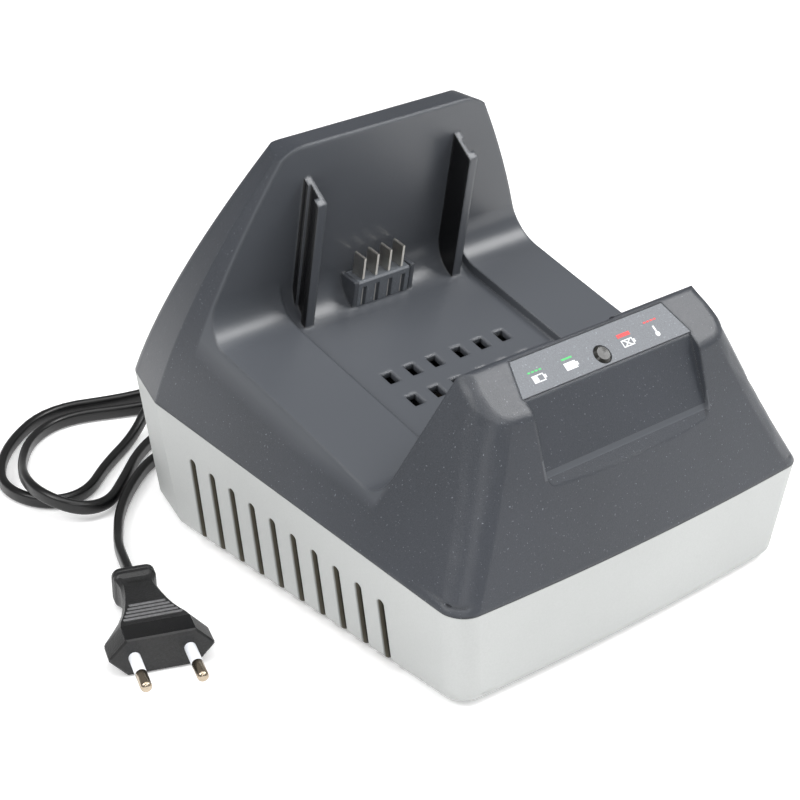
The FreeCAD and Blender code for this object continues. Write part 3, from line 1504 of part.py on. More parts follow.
def free_cord(label, route):
    edges, radii = tube_path(route)
    solid = tube(edges, size.cord_diameter / 2)
    long = sum(edge.Length for edge in edges)
    section = math.pi * size.cord_diameter ** 2 / 4
    print(f"{label}: {long:.0f} mm long, bends of {', '.join(f'{r:.0f}' for r in radii)} mm, "
          f"volume {solid.Volume:.0f} against {section * long:.0f} mm3, "
          f"least gap to itself {least_gap(edges, size.cord_diameter):.2f} mm")
    keep_shape(solid, label)
    return long


PLUG_FRONT, PLUG_SHOULDER, PLUG_GRIP = -9.0, -17.0, 8.0 - PLUG_LONG
SHOULDER_HALF_WIDE, SHOULDER_HALF_TALL = 10.0, 6.3
GRIP_HALF_WIDE, GRIP_HALF_TALL = 5.6, 5.2
PLUG_RIBS, RIB_LENGTH, RIB_OUT, RIB_UP = 5, 2.0, 0.9, 0.4
BODY_FLAT, RIB_FLAT = 0.66, 0.75


def plug_section(x, half_wide, half_tall, flat):
    flat_half = half_wide * flat
    points = [Vector(x, -half_wide, 0), Vector(x, -flat_half, -half_tall), Vector(x, flat_half, -half_tall),
              Vector(x, half_wide, 0), Vector(x, flat_half, half_tall), Vector(x, -flat_half, half_tall)]
    return Part.makePolygon(points + points[:1])


def plug_pieces():
    """A flat two-pin plug with its sleeved pins: a six-sided front, a tapering ribbed grip and a collar."""
    place = Placement(Vector(PLUG_X, PLUG_Y, PLUG_Z), Rotation(Vector(0, 0, 1), PLUG_TURN))
    half_wide, half_tall = size.plug_wide / 2, size.plug_tall / 2
    stages = [(0, half_wide, half_tall), (PLUG_FRONT, half_wide, half_tall),
              (PLUG_SHOULDER, SHOULDER_HALF_WIDE, SHOULDER_HALF_TALL),
              (PLUG_GRIP, GRIP_HALF_WIDE, GRIP_HALF_TALL)]
    sections = [plug_section(*stage, BODY_FLAT) for stage in stages]
    body = Part.makeLoft(sections[:2], True, True)
    for pair in zip(sections[1:], sections[2:]):
        body = body.fuse(Part.makeLoft(list(pair), True, True))
    for i in range(PLUG_RIBS):
        share = (i + 0.5) / PLUG_RIBS
        x = PLUG_SHOULDER + (PLUG_GRIP - PLUG_SHOULDER) * share
        wide = SHOULDER_HALF_WIDE + (GRIP_HALF_WIDE - SHOULDER_HALF_WIDE) * share + RIB_OUT
        tall = SHOULDER_HALF_TALL + (GRIP_HALF_TALL - SHOULDER_HALF_TALL) * share + RIB_UP
        ends = [plug_section(x + half, wide, tall, RIB_FLAT) for half in (RIB_LENGTH / 2, -RIB_LENGTH / 2)]
        body = body.fuse(Part.makeLoft(ends, True, True))
    collar_wide, collar_tall = 7.5, half_tall - 0.1
    collar = block(-PLUG_LONG, PLUG_GRIP + 0.5, -collar_wide, collar_wide, -collar_tall, collar_tall)
    collar = collar.makeFillet(2.0, edges_of(collar, lambda e: abs(e.tangentAt(e.FirstParameter).x) > 0.9))
    body = body.fuse(collar)
    sleeve, core, long = size.pin_diameter / 2, size.pin_diameter / 2 - 0.45, size.pin_sleeve_long
    gap, deep, sleeve_deep = size.running_gap, 12.0, 3.0
    for number, y in ((1, -size.pin_spread / 2), (2, size.pin_spread / 2)):
        spot = place.multiply(Placement(Vector(0, y, 0), Rotation()))
        body = body.cut([along_x(sleeve + gap, -sleeve_deep - gap, 1).translated(Vector(0, y, 0)),
                         along_x(core + gap, -deep - gap, 1).translated(Vector(0, y, 0))])
        pin = along_x(core, -deep, long + 1).fuse(along_x(sleeve, long + gap, size.pin_long))
        end = edges_of(pin, lambda e: abs(middle_of(e).x - size.pin_long) < 0.01 and e.Closed)
        keep_shape(pin.makeFillet(1.2, end), f"plug_pin_{number}", spot)
        keep_shape(ring_x(sleeve, core + gap, -sleeve_deep, long), f"pin_sleeve_{number}", spot)
    keep_shape(body.removeSplitter(), "plug_body", place)


COIL_EDGES, COIL_ENTRY, COIL_EXIT, COIL_WAY = coil_path()


def mains_cord():
    near, far = cord_routes()
    total = free_cord("mains_cord_near", near) + free_cord("mains_cord_far", far)
    keep_shape(tube(COIL_EDGES, size.cord_diameter / 2), "mains_cord_coil")
    coiled = sum(edge.Length for edge in COIL_EDGES)
    print(f"coil: {coiled:.0f} mm in {IN_TURNS + 0.5} turns, least gap to itself "
          f"{least_gap(COIL_EDGES, size.cord_diameter):.2f} mm; cord in all {total + coiled:.0f} mm")


mains_cord()
coil_tie()
plug_pieces()


# Check every object and write one file for each sub-part

doc.recompute()
failed = [item.Name for item in doc.Objects if {"Invalid", "Error"} & set(item.State)]
failed += [label for label, item in PARTS.items() if item.Shape.isNull() or not item.Shape.isValid()]
if failed:
    raise SystemExit("failed objects: " + ", ".join(failed))
os.makedirs("parts", exist_ok=True)
for label, item in PARTS.items():
    item.Shape.exportStep(f"parts/{label}.step")
print(f"{len(PARTS)} sub-parts written")
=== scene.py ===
import math

import bmesh
import bpy
from mathutils import Matrix, Vector


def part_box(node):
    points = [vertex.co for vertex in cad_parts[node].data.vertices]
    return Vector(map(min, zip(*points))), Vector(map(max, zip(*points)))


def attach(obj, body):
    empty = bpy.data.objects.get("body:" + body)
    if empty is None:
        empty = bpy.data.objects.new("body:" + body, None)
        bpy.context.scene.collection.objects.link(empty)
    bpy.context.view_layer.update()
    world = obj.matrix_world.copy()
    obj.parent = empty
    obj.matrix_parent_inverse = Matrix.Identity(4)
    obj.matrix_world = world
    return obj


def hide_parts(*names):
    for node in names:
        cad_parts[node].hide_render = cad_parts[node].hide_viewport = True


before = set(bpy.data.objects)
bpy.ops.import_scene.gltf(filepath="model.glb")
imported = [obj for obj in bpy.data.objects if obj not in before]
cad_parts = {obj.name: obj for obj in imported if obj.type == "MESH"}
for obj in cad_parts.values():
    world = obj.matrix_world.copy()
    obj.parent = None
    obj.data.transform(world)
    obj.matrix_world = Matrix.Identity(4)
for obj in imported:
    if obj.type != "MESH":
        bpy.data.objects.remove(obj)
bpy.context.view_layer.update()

MM = 0.001


# Camera

CAMERA_AT = (-0.45163, -0.49862, 0.39572)
RIGHT = (0.75985, -0.65009, -0.00144)
UP = (0.29646, 0.34455, 0.89073)
AHEAD = (0.57856, 0.67725, -0.45453)
FOCAL_MM, SENSOR_MM, NEAREST = 95.39, 36.0, 0.05

camera = bpy.data.objects.new("camera", bpy.data.cameras.new("camera"))
bpy.context.scene.collection.objects.link(camera)
bpy.context.scene.camera = camera
camera.data.lens = FOCAL_MM
camera.data.sensor_width = SENSOR_MM
camera.data.clip_start = NEAREST
facing = Matrix((RIGHT, UP, [-part for part in AHEAD])).transposed().to_4x4()
camera.matrix_world = Matrix.Translation(CAMERA_AT) @ facing


# Shaders: sums are written as plain expressions on sockets

class Wire:
    """A socket of a finish. Sums of wires and numbers make Math nodes."""

    def __init__(self, finish, socket):
        self.finish, self.socket = finish, socket

    def math(self, operation, *terms, clamp=False):
        return self.finish.node("ShaderNodeMath", {"operation": operation, "use_clamp": clamp},
                                dict(enumerate(terms)))

    def __add__(self, other):
        return self.math("ADD", self, other)

    def __sub__(self, other):
        return self.math("SUBTRACT", self, other)

    def __rsub__(self, other):
        return self.math("SUBTRACT", other, self)

    def __mul__(self, other):
        return self.math("MULTIPLY", self, other)

    def __lt__(self, other):
        return self.math("LESS_THAN", self, other)

    def __gt__(self, other):
        return self.math("GREATER_THAN", self, other)

    def __truediv__(self, other):
        return self.math("DIVIDE", self, other)

    __radd__, __rmul__ = __add__, __mul__

    def size(self):
        return self.math("ABSOLUTE", self)

    def between(self, low, high):
        """0 below low, 1 above high and an even slope between them."""
        return self.math("MULTIPLY", self - low, 1 / (high - low), clamp=True)


class Finish:
    """A material and the nodes that make it."""

    def __init__(self, name):
        self.material = bpy.data.materials.new(name)
        self.material.use_nodes = True
        self.tree = self.material.node_tree
        self.skin = self.tree.nodes["Principled BSDF"]

    def node(self, kind, settings=(), sockets=(), out=0):
        made = self.tree.nodes.new(kind)
        for name, value in dict(settings).items():
            setattr(made, name, value)
        self.join(made, sockets)
        return Wire(self, made.outputs[out])

    def join(self, made, sockets):
        for name, value in dict(sockets).items():
            if isinstance(value, Wire):
                self.tree.links.new(value.socket, made.inputs[name])
            else:
                made.inputs[name].default_value = value

    def shader(self, **values):
        self.join(self.skin, {name.replace("_", " "): value for name, value in values.items()})
        return self

    def place(self):
        """Where a point lies in the piece's own frame, in metres."""
        return self.node("ShaderNodeTexCoord", out="Object")

    def along(self, axis):
        return self.node("ShaderNodeSeparateXYZ", (), {0: self.place()}, out=axis)

    def stretched(self, scale):
        return self.node("ShaderNodeMapping", (), {"Vector": self.place(), "Scale": scale})

    def noise(self, per_metre, detail=2.0, rough=0.5, where=None):
        return self.node("ShaderNodeTexNoise", (), {
            "Vector": where or self.place(), "Scale": per_metre, "Detail": detail, "Roughness": rough})

    def cells(self, per_metre, feature="F1", where=None):
        return self.node("ShaderNodeTexVoronoi", {"feature": feature},
                         {"Vector": where or self.place(), "Scale": per_metre})

    def blend(self, share, first, second):
        return self.node("ShaderNodeMix", {"data_type": "RGBA"}, {0: share, 6: first, 7: second}, out=2)

    def relief(self, height, depth, round_edge=0.0):
        """A bump from a height of 0 to 1, that many metres deep, over edges that look rounded."""
        sockets = {"Height": height, "Distance": depth}
        if round_edge:
            sockets["Normal"] = self.node("ShaderNodeBevel", {"samples": 4}, {"Radius": round_edge})
        return self.node("ShaderNodeBump", (), sockets)


def tone(red, green, blue):
    """A colour as it looks on a screen, 0 to 255, turned to the light that it stands for."""
    def light(level):
        level /= 255
        return level / 12.92 if level <= 0.04045 else ((level + 0.055) / 1.055) ** 2.4
    return light(red), light(green), light(blue), 1.0


def moulded(name, pale, deep, grain, depth, rough):
    """A moulded plastic with a spark-eroded skin: broad shade and fine grain."""
    skin = Finish(name)
    fine = skin.noise(grain, 3.0, 0.65)
    broad = skin.noise(26.0, 2.0)
    colour = skin.blend(broad.between(0.3, 0.7) * 0.6 + fine.between(0.3, 0.7) * 0.4, deep, pale)
    low, high = rough
    return skin.shader(Base_Color=colour, Roughness=low + (high - low) * fine, Normal=skin.relief(fine, depth))


# Places on the housing that its finishes need, in metres

HALF_WIDTH, FRONT_Y = 0.0818, -0.0954
WALL_TOP, WALL_TOP_Y, WALL_SLOPE = 0.1473, 0.0365, 0.1844
CONSOLE_TOP, CONSOLE_BACK_Y, CONSOLE_BACK_SLOPE = 0.104, -0.062, 0.33
CRADLE_HALF = 0.0745
PANEL_LOW, PANEL_HIGH, PANEL_BACK_Y, PANEL_HALF = 0.0695, 0.0905, -0.0835, 0.0385
RAIL_MIDDLE, RAIL_HALF, RAIL_FOOT = 0.0352, 0.0035, 0.070
SEAM_FRONT, SEAM_RISE, UNDERSIDE, BASE_DRAFT = 0.0376, 0.088, 0.0015, 0.0054
SLOTS_MIDDLE, SLOTS_HALF = -0.002, 0.0555


def housing_shell():
    """Slate grey: grained outside, smooth in the cradle and on the sunk front panel."""
    skin = Finish("slate_shell")
    normal = skin.node("ShaderNodeNewGeometry", out="Normal")
    turned_right = skin.node("ShaderNodeSeparateXYZ", (), {0: normal}, out="X")
    across, along, up = skin.along("X"), skin.along("Y"), skin.along("Z")
    fine = skin.noise(1900.0, 3.0, 0.7)
    soft = skin.noise(420.0, 2.0, 0.5)
    broad = skin.noise(18.0, 2.0)
    # the cradle: behind the console, before the wall and inside the outer flanks
    behind = (along - CONSOLE_BACK_Y - CONSOLE_BACK_SLOPE * (CONSOLE_TOP - up)).between(0.0, 0.002)
    under_rim = 1 - (up - WALL_TOP).between(-0.0004, 0.0)
    before_wall = (WALL_TOP_Y + (WALL_TOP - up) * WALL_SLOPE - along).between(-0.0012, 0.0)
    cradle = behind * under_rim * before_wall * (1 - (across.size() - CRADLE_HALF).between(0.0, 0.002))
    panel = (along < PANEL_BACK_Y) * (up > PANEL_LOW) * (up < PANEL_HIGH) * (across.size() < PANEL_HALF)
    smooth = skin.node("ShaderNodeMath", {"operation": "MAXIMUM"}, {0: cradle, 1: panel})
    grained = 1 - smooth
    colour = skin.blend(broad.between(0.3, 0.7), tone(45, 48, 53), tone(51, 54, 60))
    colour = skin.blend(fine.between(0.35, 0.65) * grained * 0.4, colour, tone(64, 68, 75))
    speck = skin.noise(1500.0, 1.0, 0.5).between(0.71, 0.78)
    colour = skin.blend(speck * grained * 0.35, colour, tone(160, 166, 174))
    colour = skin.blend(smooth * 0.9, colour, tone(76, 79, 84))
    # painted shade: the inner sides of the guide rails are coloured near black, as if they lay in their own
    # shade
    from_rail = (across.size() - RAIL_MIDDLE).size() - RAIL_HALF
    rail_painted_shade = cradle * (turned_right < -0.3) * (up > RAIL_FOOT) * (1 - from_rail.between(0.0, 0.0004))
    colour = skin.blend(rail_painted_shade * 0.95, colour, tone(8, 8, 9))
    height = fine * grained + soft * smooth * 0.25
    return skin.shader(Base_Color=colour, Roughness=0.34 + 0.1 * fine * grained - 0.02 * smooth,
                       Normal=skin.relief(height, 0.00008, 0.0016), Specular_IOR_Level=0.5)


def base_tub():
    """Pale grey with a fine grain, faintly darker towards the floor, with painted shade inside the slots: olive
    near the opening and near black deeper in.
    """
    skin = Finish("pale_tub")
    fine = skin.noise(1500.0, 3.0, 0.65)
    broad = skin.noise(16.0, 2.0)
    colour = skin.blend(broad.between(0.3, 0.7), tone(177, 179, 178), tone(183, 185, 184))
    colour = skin.blend(fine.between(0.35, 0.65) * 0.3, colour, tone(168, 170, 169))
    across, along, up = skin.along("X"), skin.along("Y"), skin.along("Z")
    colour = skin.blend((1 - up.between(0.0, 0.006)) * 0.25, colour, tone(150, 150, 147))
    # inside the slots: how deep a point lies behind the leaning side, which sets the painted shade there
    seam = SEAM_FRONT + SEAM_RISE * (along - FRONT_Y)
    lean = (seam - up) / (seam - UNDERSIDE)
    deep = HALF_WIDTH - BASE_DRAFT * lean - across.size()
    row = 1 - (along - SLOTS_MIDDLE).size().between(SLOTS_HALF, SLOTS_HALF + 0.0005)
    # painted shade in the slots: olive near the opening, near black deeper in
    colour = skin.blend(deep.between(0.0003, 0.0008) * row, colour, tone(104, 99, 86))
    colour = skin.blend(deep.between(0.0014, 0.0026) * row, colour, tone(34, 34, 32))
    return skin.shader(Base_Color=colour, Roughness=0.5 + 0.12 * fine,
                       Normal=skin.relief(fine, 0.00005, 0.0008), Specular_IOR_Level=0.45)


def bezel_plate():
    """A paler slate grey, satin, with a finer grain. The terminal block has it too."""
    skin = Finish("slate_bezel")
    fine = skin.noise(2100.0, 2.0, 0.6)
    speck = skin.noise(1500.0, 1.0, 0.5).between(0.68, 0.76)
    colour = skin.blend(fine.between(0.3, 0.7), tone(84, 88, 93), tone(100, 104, 110))
    colour = skin.blend(speck * 0.5, colour, tone(160, 165, 172))
    return skin.shader(Base_Color=colour, Roughness=0.42 + 0.1 * fine,
                       Normal=skin.relief(fine, 0.00005, 0.0004))


def brushed(name, pale, deep, rough, direction, metal=1.0):
    """Bare or plated metal with fine lines along one direction."""
    skin = Finish(name)
    lines = skin.noise(1.0, 3.0, 0.6, skin.stretched(direction))
    stain = skin.noise(240.0, 2.0)
    colour = skin.blend(lines * 0.7 + stain * 0.3, deep, pale)
    return skin.shader(Base_Color=colour, Metallic=metal, Roughness=rough + 0.12 * lines + 0.06 * stain,
                       Normal=skin.relief(lines, 0.00001))


def printed(name, colour, worn):
    """Screen-printed ink: almost even, with tiny pinholes and a slightly rough skin."""
    skin = Finish(name)
    dots = skin.noise(2600.0, 2.0, 0.6)
    return skin.shader(Base_Color=skin.blend(dots.between(0.55, 0.8), colour, worn),
                       Roughness=0.45 + 0.15 * dots, Normal=skin.relief(dots, 0.00001))


def cord_sheath():
    """Black flexible sheath: a soft gloss, duller and paler where dust lies."""
    skin = Finish("cord_sheath")
    dust = skin.noise(320.0, 4.0, 0.65)
    fine = skin.noise(1900.0, 2.0)
    colour = skin.blend(dust.between(0.5, 0.8) * 0.5, tone(9, 9, 10), tone(22, 22, 23))
    return skin.shader(Base_Color=colour, Roughness=0.27 + 0.16 * dust, Normal=skin.relief(fine, 0.00002),
                       Specular_IOR_Level=0.5)


# Places on the plug, in metres. The front face is at 0 and the cord's end lies behind it.

BAND_BACK, BAND_FRONT, BAND_HIGH = -0.0092, -0.0006, 0.0066
FIRST_RIB, RIBS_BACK, RIBS_FRONT = -0.0123, -0.0228, -0.0110
RIB_TOP, RIB_FALL = 0.00675, 0.0696
NOTCH_AT, NOTCH_LONG, NOTCH_WIDE, NOTCH_LOW = -0.0374, 0.0005, 0.0034, 0.003


def plug_moulding():
    """Black moulding with a leathery grain, glossy on the band behind the front face."""
    skin = Finish("plug_moulding")
    back, across, up = skin.along("X"), skin.along("Y"), skin.along("Z")
    band = (back > BAND_BACK) * (back < BAND_FRONT) * (up.size() > BAND_HIGH)
    # painted highlight on the tops of the ribs, and painted shade for a small slot in front of the collar
    ribs = (back > RIBS_BACK) * (back < RIBS_FRONT) * (up.size() > RIB_TOP + RIB_FALL * (back - FIRST_RIB))
    slot_painted_shade = ((back - NOTCH_AT).size() < NOTCH_LONG) * (across.size() < NOTCH_WIDE) * (up > NOTCH_LOW)
    fine = skin.cells(1500.0)
    soft = skin.noise(900.0, 3.0, 0.6)
    colour = skin.blend(soft.between(0.35, 0.7) * (1 - band), tone(10, 10, 11), tone(28, 28, 29))
    # painted highlight: the rib tops are coloured paler
    colour = skin.blend(ribs * (0.35 + 0.9 * soft), colour, tone(112, 112, 114))
    # painted shade: the slot in front of the collar is coloured near black
    colour = skin.blend(slot_painted_shade, colour, tone(2, 2, 2))
    height = (fine * 0.6 + soft * 0.4) * (1 - band)
    return skin.shader(Base_Color=colour, Roughness=0.36 + 0.12 * soft - 0.18 * band,
                       Normal=skin.relief(height, 0.00012), Specular_IOR_Level=0.5)


def dark_lens():
    """A smoked lens that lets little light through, with a satin dome."""
    skin = Finish("smoked_lens")
    haze = skin.noise(300.0, 2.0)
    return skin.shader(Base_Color=skin.blend(haze, tone(30, 30, 29), tone(46, 46, 43)),
                       Roughness=0.12 + 0.06 * haze, Transmission_Weight=0.1, Specular_IOR_Level=0.25)


def circuit_board():
    """Green solder mask with pale traces and tinned pads."""
    skin = Finish("solder_mask")
    traces = skin.cells(90.0, "DISTANCE_TO_EDGE").between(0.06, 0.09)
    pads = 1 - skin.cells(260.0).between(0.22, 0.3)
    mottled = skin.noise(140.0, 3.0)
    green = skin.blend(mottled, tone(14, 74, 40), tone(24, 96, 52))
    green = skin.blend((1 - traces) * 0.6, green, tone(52, 128, 78))
    return skin.shader(Base_Color=skin.blend(pads * 0.5, green, tone(188, 186, 176)),
                       Roughness=0.32 + 0.2 * mottled, Normal=skin.relief(1 - traces, 0.00003))


def wound(name, pale, deep, pitch, axis):
    """Turns of wire or tape that lie side by side across an axis."""
    skin = Finish(name)
    turns = skin.node("ShaderNodeTexWave", {"bands_direction": axis, "wave_profile": "SIN"},
                      {"Vector": skin.place(), "Scale": pitch, "Distortion": 0.6, "Detail": 1.0})
    dirt = skin.noise(160.0, 3.0)
    colour = skin.blend(turns * 0.7 + dirt * 0.3, deep, pale)
    return skin.shader(Base_Color=colour, Roughness=0.35 + 0.25 * dirt, Normal=skin.relief(turns, 0.00012))


def sleeve_print():
    """Shrink sleeve of a capacitor: dark blue with paler fields of print and a soft sheen."""
    skin = Finish("can_sleeve")
    print_fields = skin.cells(24.0).between(0.4, 0.42)
    soft = skin.noise(500.0, 2.0)
    colour = skin.blend(print_fields * 0.25, tone(24, 26, 40), tone(96, 100, 120))
    return skin.shader(Base_Color=colour, Roughness=0.25 + 0.15 * soft, Normal=skin.relief(soft, 0.00002))


SHELL = housing_shell()
TUB = base_tub()
BEZEL = bezel_plate()
SHEATH = cord_sheath()
PLUG = plug_moulding()
BLACK = moulded("black_moulding", tone(44, 45, 48), tone(32, 33, 35), 1700.0, 0.00006, (0.42, 0.55))
BLADE = brushed("contact_nickel", tone(240, 237, 230), tone(206, 202, 194), 0.24, (120.0, 120.0, 2600.0))
# painted highlight: a pale finish for strips on the blades' front edges
BLADE_HIGHLIGHT = brushed("nickel_painted_highlight", tone(240, 238, 232), tone(208, 204, 196), 0.3, (2600.0, 120.0, 120.0), 0.2)
PIN = brushed("pin_nickel", tone(206, 192, 172), tone(148, 134, 116), 0.14, (900.0, 900.0, 900.0))
ZINC = brushed("zinc_steel", tone(196, 196, 190), tone(130, 130, 126), 0.26, (700.0, 700.0, 700.0))
SINK = brushed("heatsink_aluminium", tone(190, 192, 196), tone(136, 138, 142), 0.34, (300.0, 2400.0, 300.0))
BRONZE = brushed("bearing_bronze", tone(176, 140, 92), tone(110, 82, 52), 0.3, (900.0, 900.0, 900.0))
WHITE_SLEEVE = moulded("white_sleeve", tone(236, 238, 242), tone(224, 227, 233), 1600.0, 0.00002, (0.3, 0.4))
FOOT = moulded("foot_rubber", tone(46, 46, 47), tone(30, 30, 31), 900.0, 0.00012, (0.7, 0.85))
FAN = moulded("fan_black", tone(36, 37, 39), tone(25, 26, 27), 1300.0, 0.00004, (0.38, 0.5))
RELAY = moulded("relay_case", tone(34, 62, 118), tone(24, 48, 98), 1200.0, 0.00003, (0.3, 0.42))
TERMINAL = moulded("terminal_green", tone(52, 128, 74), tone(38, 104, 58), 1200.0, 0.00004, (0.38, 0.5))
FERRITE = moulded("ferrite", tone(70, 70, 72), tone(44, 44, 46), 600.0, 0.0001, (0.5, 0.7))
GLASS = moulded("fuse_glass", tone(214, 210, 198), tone(190, 184, 168), 300.0, 0.00001, (0.08, 0.16))
EPOXY = moulded("led_epoxy", tone(214, 226, 200), tone(196, 210, 182), 400.0, 0.00001, (0.1, 0.2))
STRAP = moulded("tie_strap", tone(42, 42, 44), tone(24, 24, 25), 1500.0, 0.00015, (0.6, 0.75))
TAPE = wound("winding_tape", tone(214, 178, 64), tone(178, 138, 38), 60.0, "Z")
COPPER = wound("copper_winding", tone(196, 116, 70), tone(120, 62, 34), 420.0, "DIAGONAL")
CAN = sleeve_print()
WIRES = moulded("wire_insulation", tone(150, 44, 38), tone(120, 32, 28), 500.0, 0.00002, (0.34, 0.46))
INK_WHITE = printed("ink_white", tone(226, 228, 230), tone(180, 182, 184))
INK_GREEN = printed("ink_green", tone(64, 190, 100), tone(44, 150, 78))
INK_RED = printed("ink_red", tone(222, 58, 60), tone(176, 40, 42))
LENS = dark_lens()
BOARD = circuit_board()


# Mesh helpers

def piece(name, mesh, finish, nodes=(), body="charger"):
    """A piece of the object: it gets its finish, rides on a body and may stand for CAD nodes."""
    item = bpy.data.objects.new(name, mesh)
    bpy.context.scene.collection.objects.link(item)
    mesh.materials.clear()
    mesh.materials.append(finish.material)
    if nodes:
        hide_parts(*nodes)
    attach(item, body)
    return item


def skinned(rings, closed_ends=True):
    """A mesh over closed rings of points; each ring has the same count."""
    mesh = bmesh.new()
    rows = [[mesh.verts.new(point) for point in ring] for ring in rings]
    count = len(rows[0])
    for lower, upper in zip(rows, rows[1:]):
        for i in range(count):
            j = (i + 1) % count
            mesh.faces.new((lower[i], lower[j], upper[j], upper[i]))
    if closed_ends:
        mesh.faces.new(rows[0][::-1])
        mesh.faces.new(rows[-1])
    bmesh.ops.recalc_face_normals(mesh, faces=mesh.faces)
    return mesh


def finished(name, mesh, smooth=35.0):
    """The data block of a bmesh, smooth up to an angle between faces."""
    data = bpy.data.meshes.new(name)
    for edge in mesh.edges:
        edge.smooth = len(edge.link_faces) != 2 or edge.calc_face_angle() < math.radians(smooth)
    for face in mesh.faces:
        face.smooth = True
    mesh.to_mesh(data)
    mesh.free()
    return data


def merged(meshes):
    """Several bmeshes as one."""
    whole = bmesh.new()
    for mesh in meshes:
        data = bpy.data.meshes.new("part")
        mesh.to_mesh(data)
        mesh.free()
        whole.from_mesh(data)
        bpy.data.meshes.remove(data)
    return whole


def softened(item, width, angle, segments=3):
    """Rounds the edges that bend more than an angle."""
    bevel = item.modifiers.new("soft_edges", "BEVEL")
    bevel.width, bevel.segments = width, segments
    bevel.limit_method, bevel.angle_limit = "ANGLE", math.radians(angle)
    bevel.harden_normals = True


# Mains cord: one smooth line through the route's own points

FLOOR, HUMP, UNDER, OVER = 2.75, 9.05, 3.65, 9.65
OUT_OF_CHARGER = [
    (22, 121.74, 22), (22, 136.74, 22), (15, 151, 15), (1, 156, 6.5), (-12, 157.5, FLOOR), (-36, 160, FLOOR),
    (-66, 173, FLOOR), (-94, 157, FLOOR), (-110.5, 136, FLOOR), (-112, 119.5, FLOOR), (-104, 106, FLOOR),
    (-90, 105, FLOOR), (-74, 118, FLOOR), (-52, 131, FLOOR), (-38, 140, HUMP), (-6, 163, HUMP), (8, 176, 5.5),
    (26, 187, UNDER)]
TO_THE_PLUG = [
    (17.7, 129.3, OVER), (2, 137.5, 5.2), (-14, 143.5, FLOOR), (-38, 150.5, FLOOR), (-64, 163, FLOOR),
    (-84, 156, FLOOR), (-99, 138, 4.2), (-109, 118, HUMP), (-110, 103.5, HUMP), (-102.5, 91.5, 6.0),
    (-90.0, 91, 4.0), (-75.5, 103.5, FLOOR), (-55, 121.5, FLOOR), (-29, 131.5, FLOOR), (-8, 134.2, FLOOR),
    (10, 124.2, FLOOR), (10, 103.6, FLOOR), (-8, 93.2, FLOOR), (-27, 101, FLOOR), (-41, 113, FLOOR),
    (-58, 111, FLOOR), (-76, 98, FLOOR), (-90, 84.5, FLOOR), (-99.5, 71, FLOOR), (-106, 60.5, 5.0),
    (-112.07, 47.08, 6.95), (-116.57, 35.95, 6.95)]
COIL_X, STOPS, PER_HALF = 50.0, (187, 122.6, 179.8, 129.8, 176.2, 126.2, 183.4, 119.0), 8
CORD_WIDE, CORD_THICK, CORD_ROUND, CORD_WAIST = 5.4, 3.6, 28, 0.05


def coil_turns():
    """Half turns between the stops: three inwards below, one that climbs, three outwards on top."""
    spread = 1 / math.cos(math.pi / (2 * PER_HALF))
    turns = []
    for number, (start, end) in enumerate(zip(STOPS, STOPS[1:])):
        centre, radius = (start + end) / 2, (start - end) / 2 * spread
        for step in range(PER_HALF):
            turn = math.pi * step / PER_HALF
            rise = 0.0 if number < 3 else 1.0
            if number == 3:
                rise = (1 - math.cos(turn)) / 2
            turns.append((COIL_X + radius * math.sin(turn), centre + radius * math.cos(turn),
                          UNDER + (OVER - UNDER) * rise))
    turns.append((COIL_X, STOPS[-1] - 0.3, OVER))
    turns.append((41.0, 120.1, OVER))
    return turns


def cord_line():
    """The cord's middle line, read from its spline."""
    curve = bpy.data.curves.new("cord_line", "CURVE")
    curve.dimensions = "3D"
    curve.resolution_u = 6
    spline = curve.splines.new("NURBS")
    route = OUT_OF_CHARGER + coil_turns() + TO_THE_PLUG
    spline.points.add(len(route) - 1)
    for point, place in zip(spline.points, route):
        point.co = (*[part * MM for part in place], 1.0)
    spline.order_u = 3
    spline.use_endpoint_u = True
    line = bpy.data.objects.new("cord_line", curve)
    bpy.context.scene.collection.objects.link(line)
    bpy.context.view_layer.update()
    data = bpy.data.meshes.new_from_object(line)
    points = [vertex.co.copy() for vertex in data.vertices]
    bpy.data.objects.remove(line)
    bpy.data.meshes.remove(data)
    return points


def flat_section():
    """The section as (thickness, width): two cores side by side in one sheath, with a faint waist."""
    radius, reach = CORD_THICK / 2, (CORD_WIDE - CORD_THICK) / 2
    corners = []
    for i in range(CORD_ROUND):
        turn = math.tau * i / CORD_ROUND
        across, along = math.cos(turn), math.sin(turn)
        waist = 1 - CORD_WAIST * max(0.0, 1 - abs(along) * 3)
        apart = math.copysign(reach, along) * min(1.0, abs(along) * 4)
        corners.append((across * radius * waist, along * radius + apart))
    return corners


def swept(line, section):
    """A flat section carried along a line with its long side upright."""
    rings = []
    for i, point in enumerate(line):
        way = (line[min(i + 1, len(line) - 1)] - line[max(i - 1, 0)]).normalized()
        side = way.cross(Vector((0, 0, 1))).normalized()
        up = side.cross(way)
        rings.append([point + side * a * MM + up * b * MM for a, b in section])
    return skinned(rings)


cord_points = cord_line()
mains_cord = piece("mains_cord", finished("mains_cord", swept(cord_points, flat_section()), 60), SHEATH,
                   ["mains_cord_near", "mains_cord_coil", "mains_cord_far"])


# Coil tie: a strap round the turns of the coil

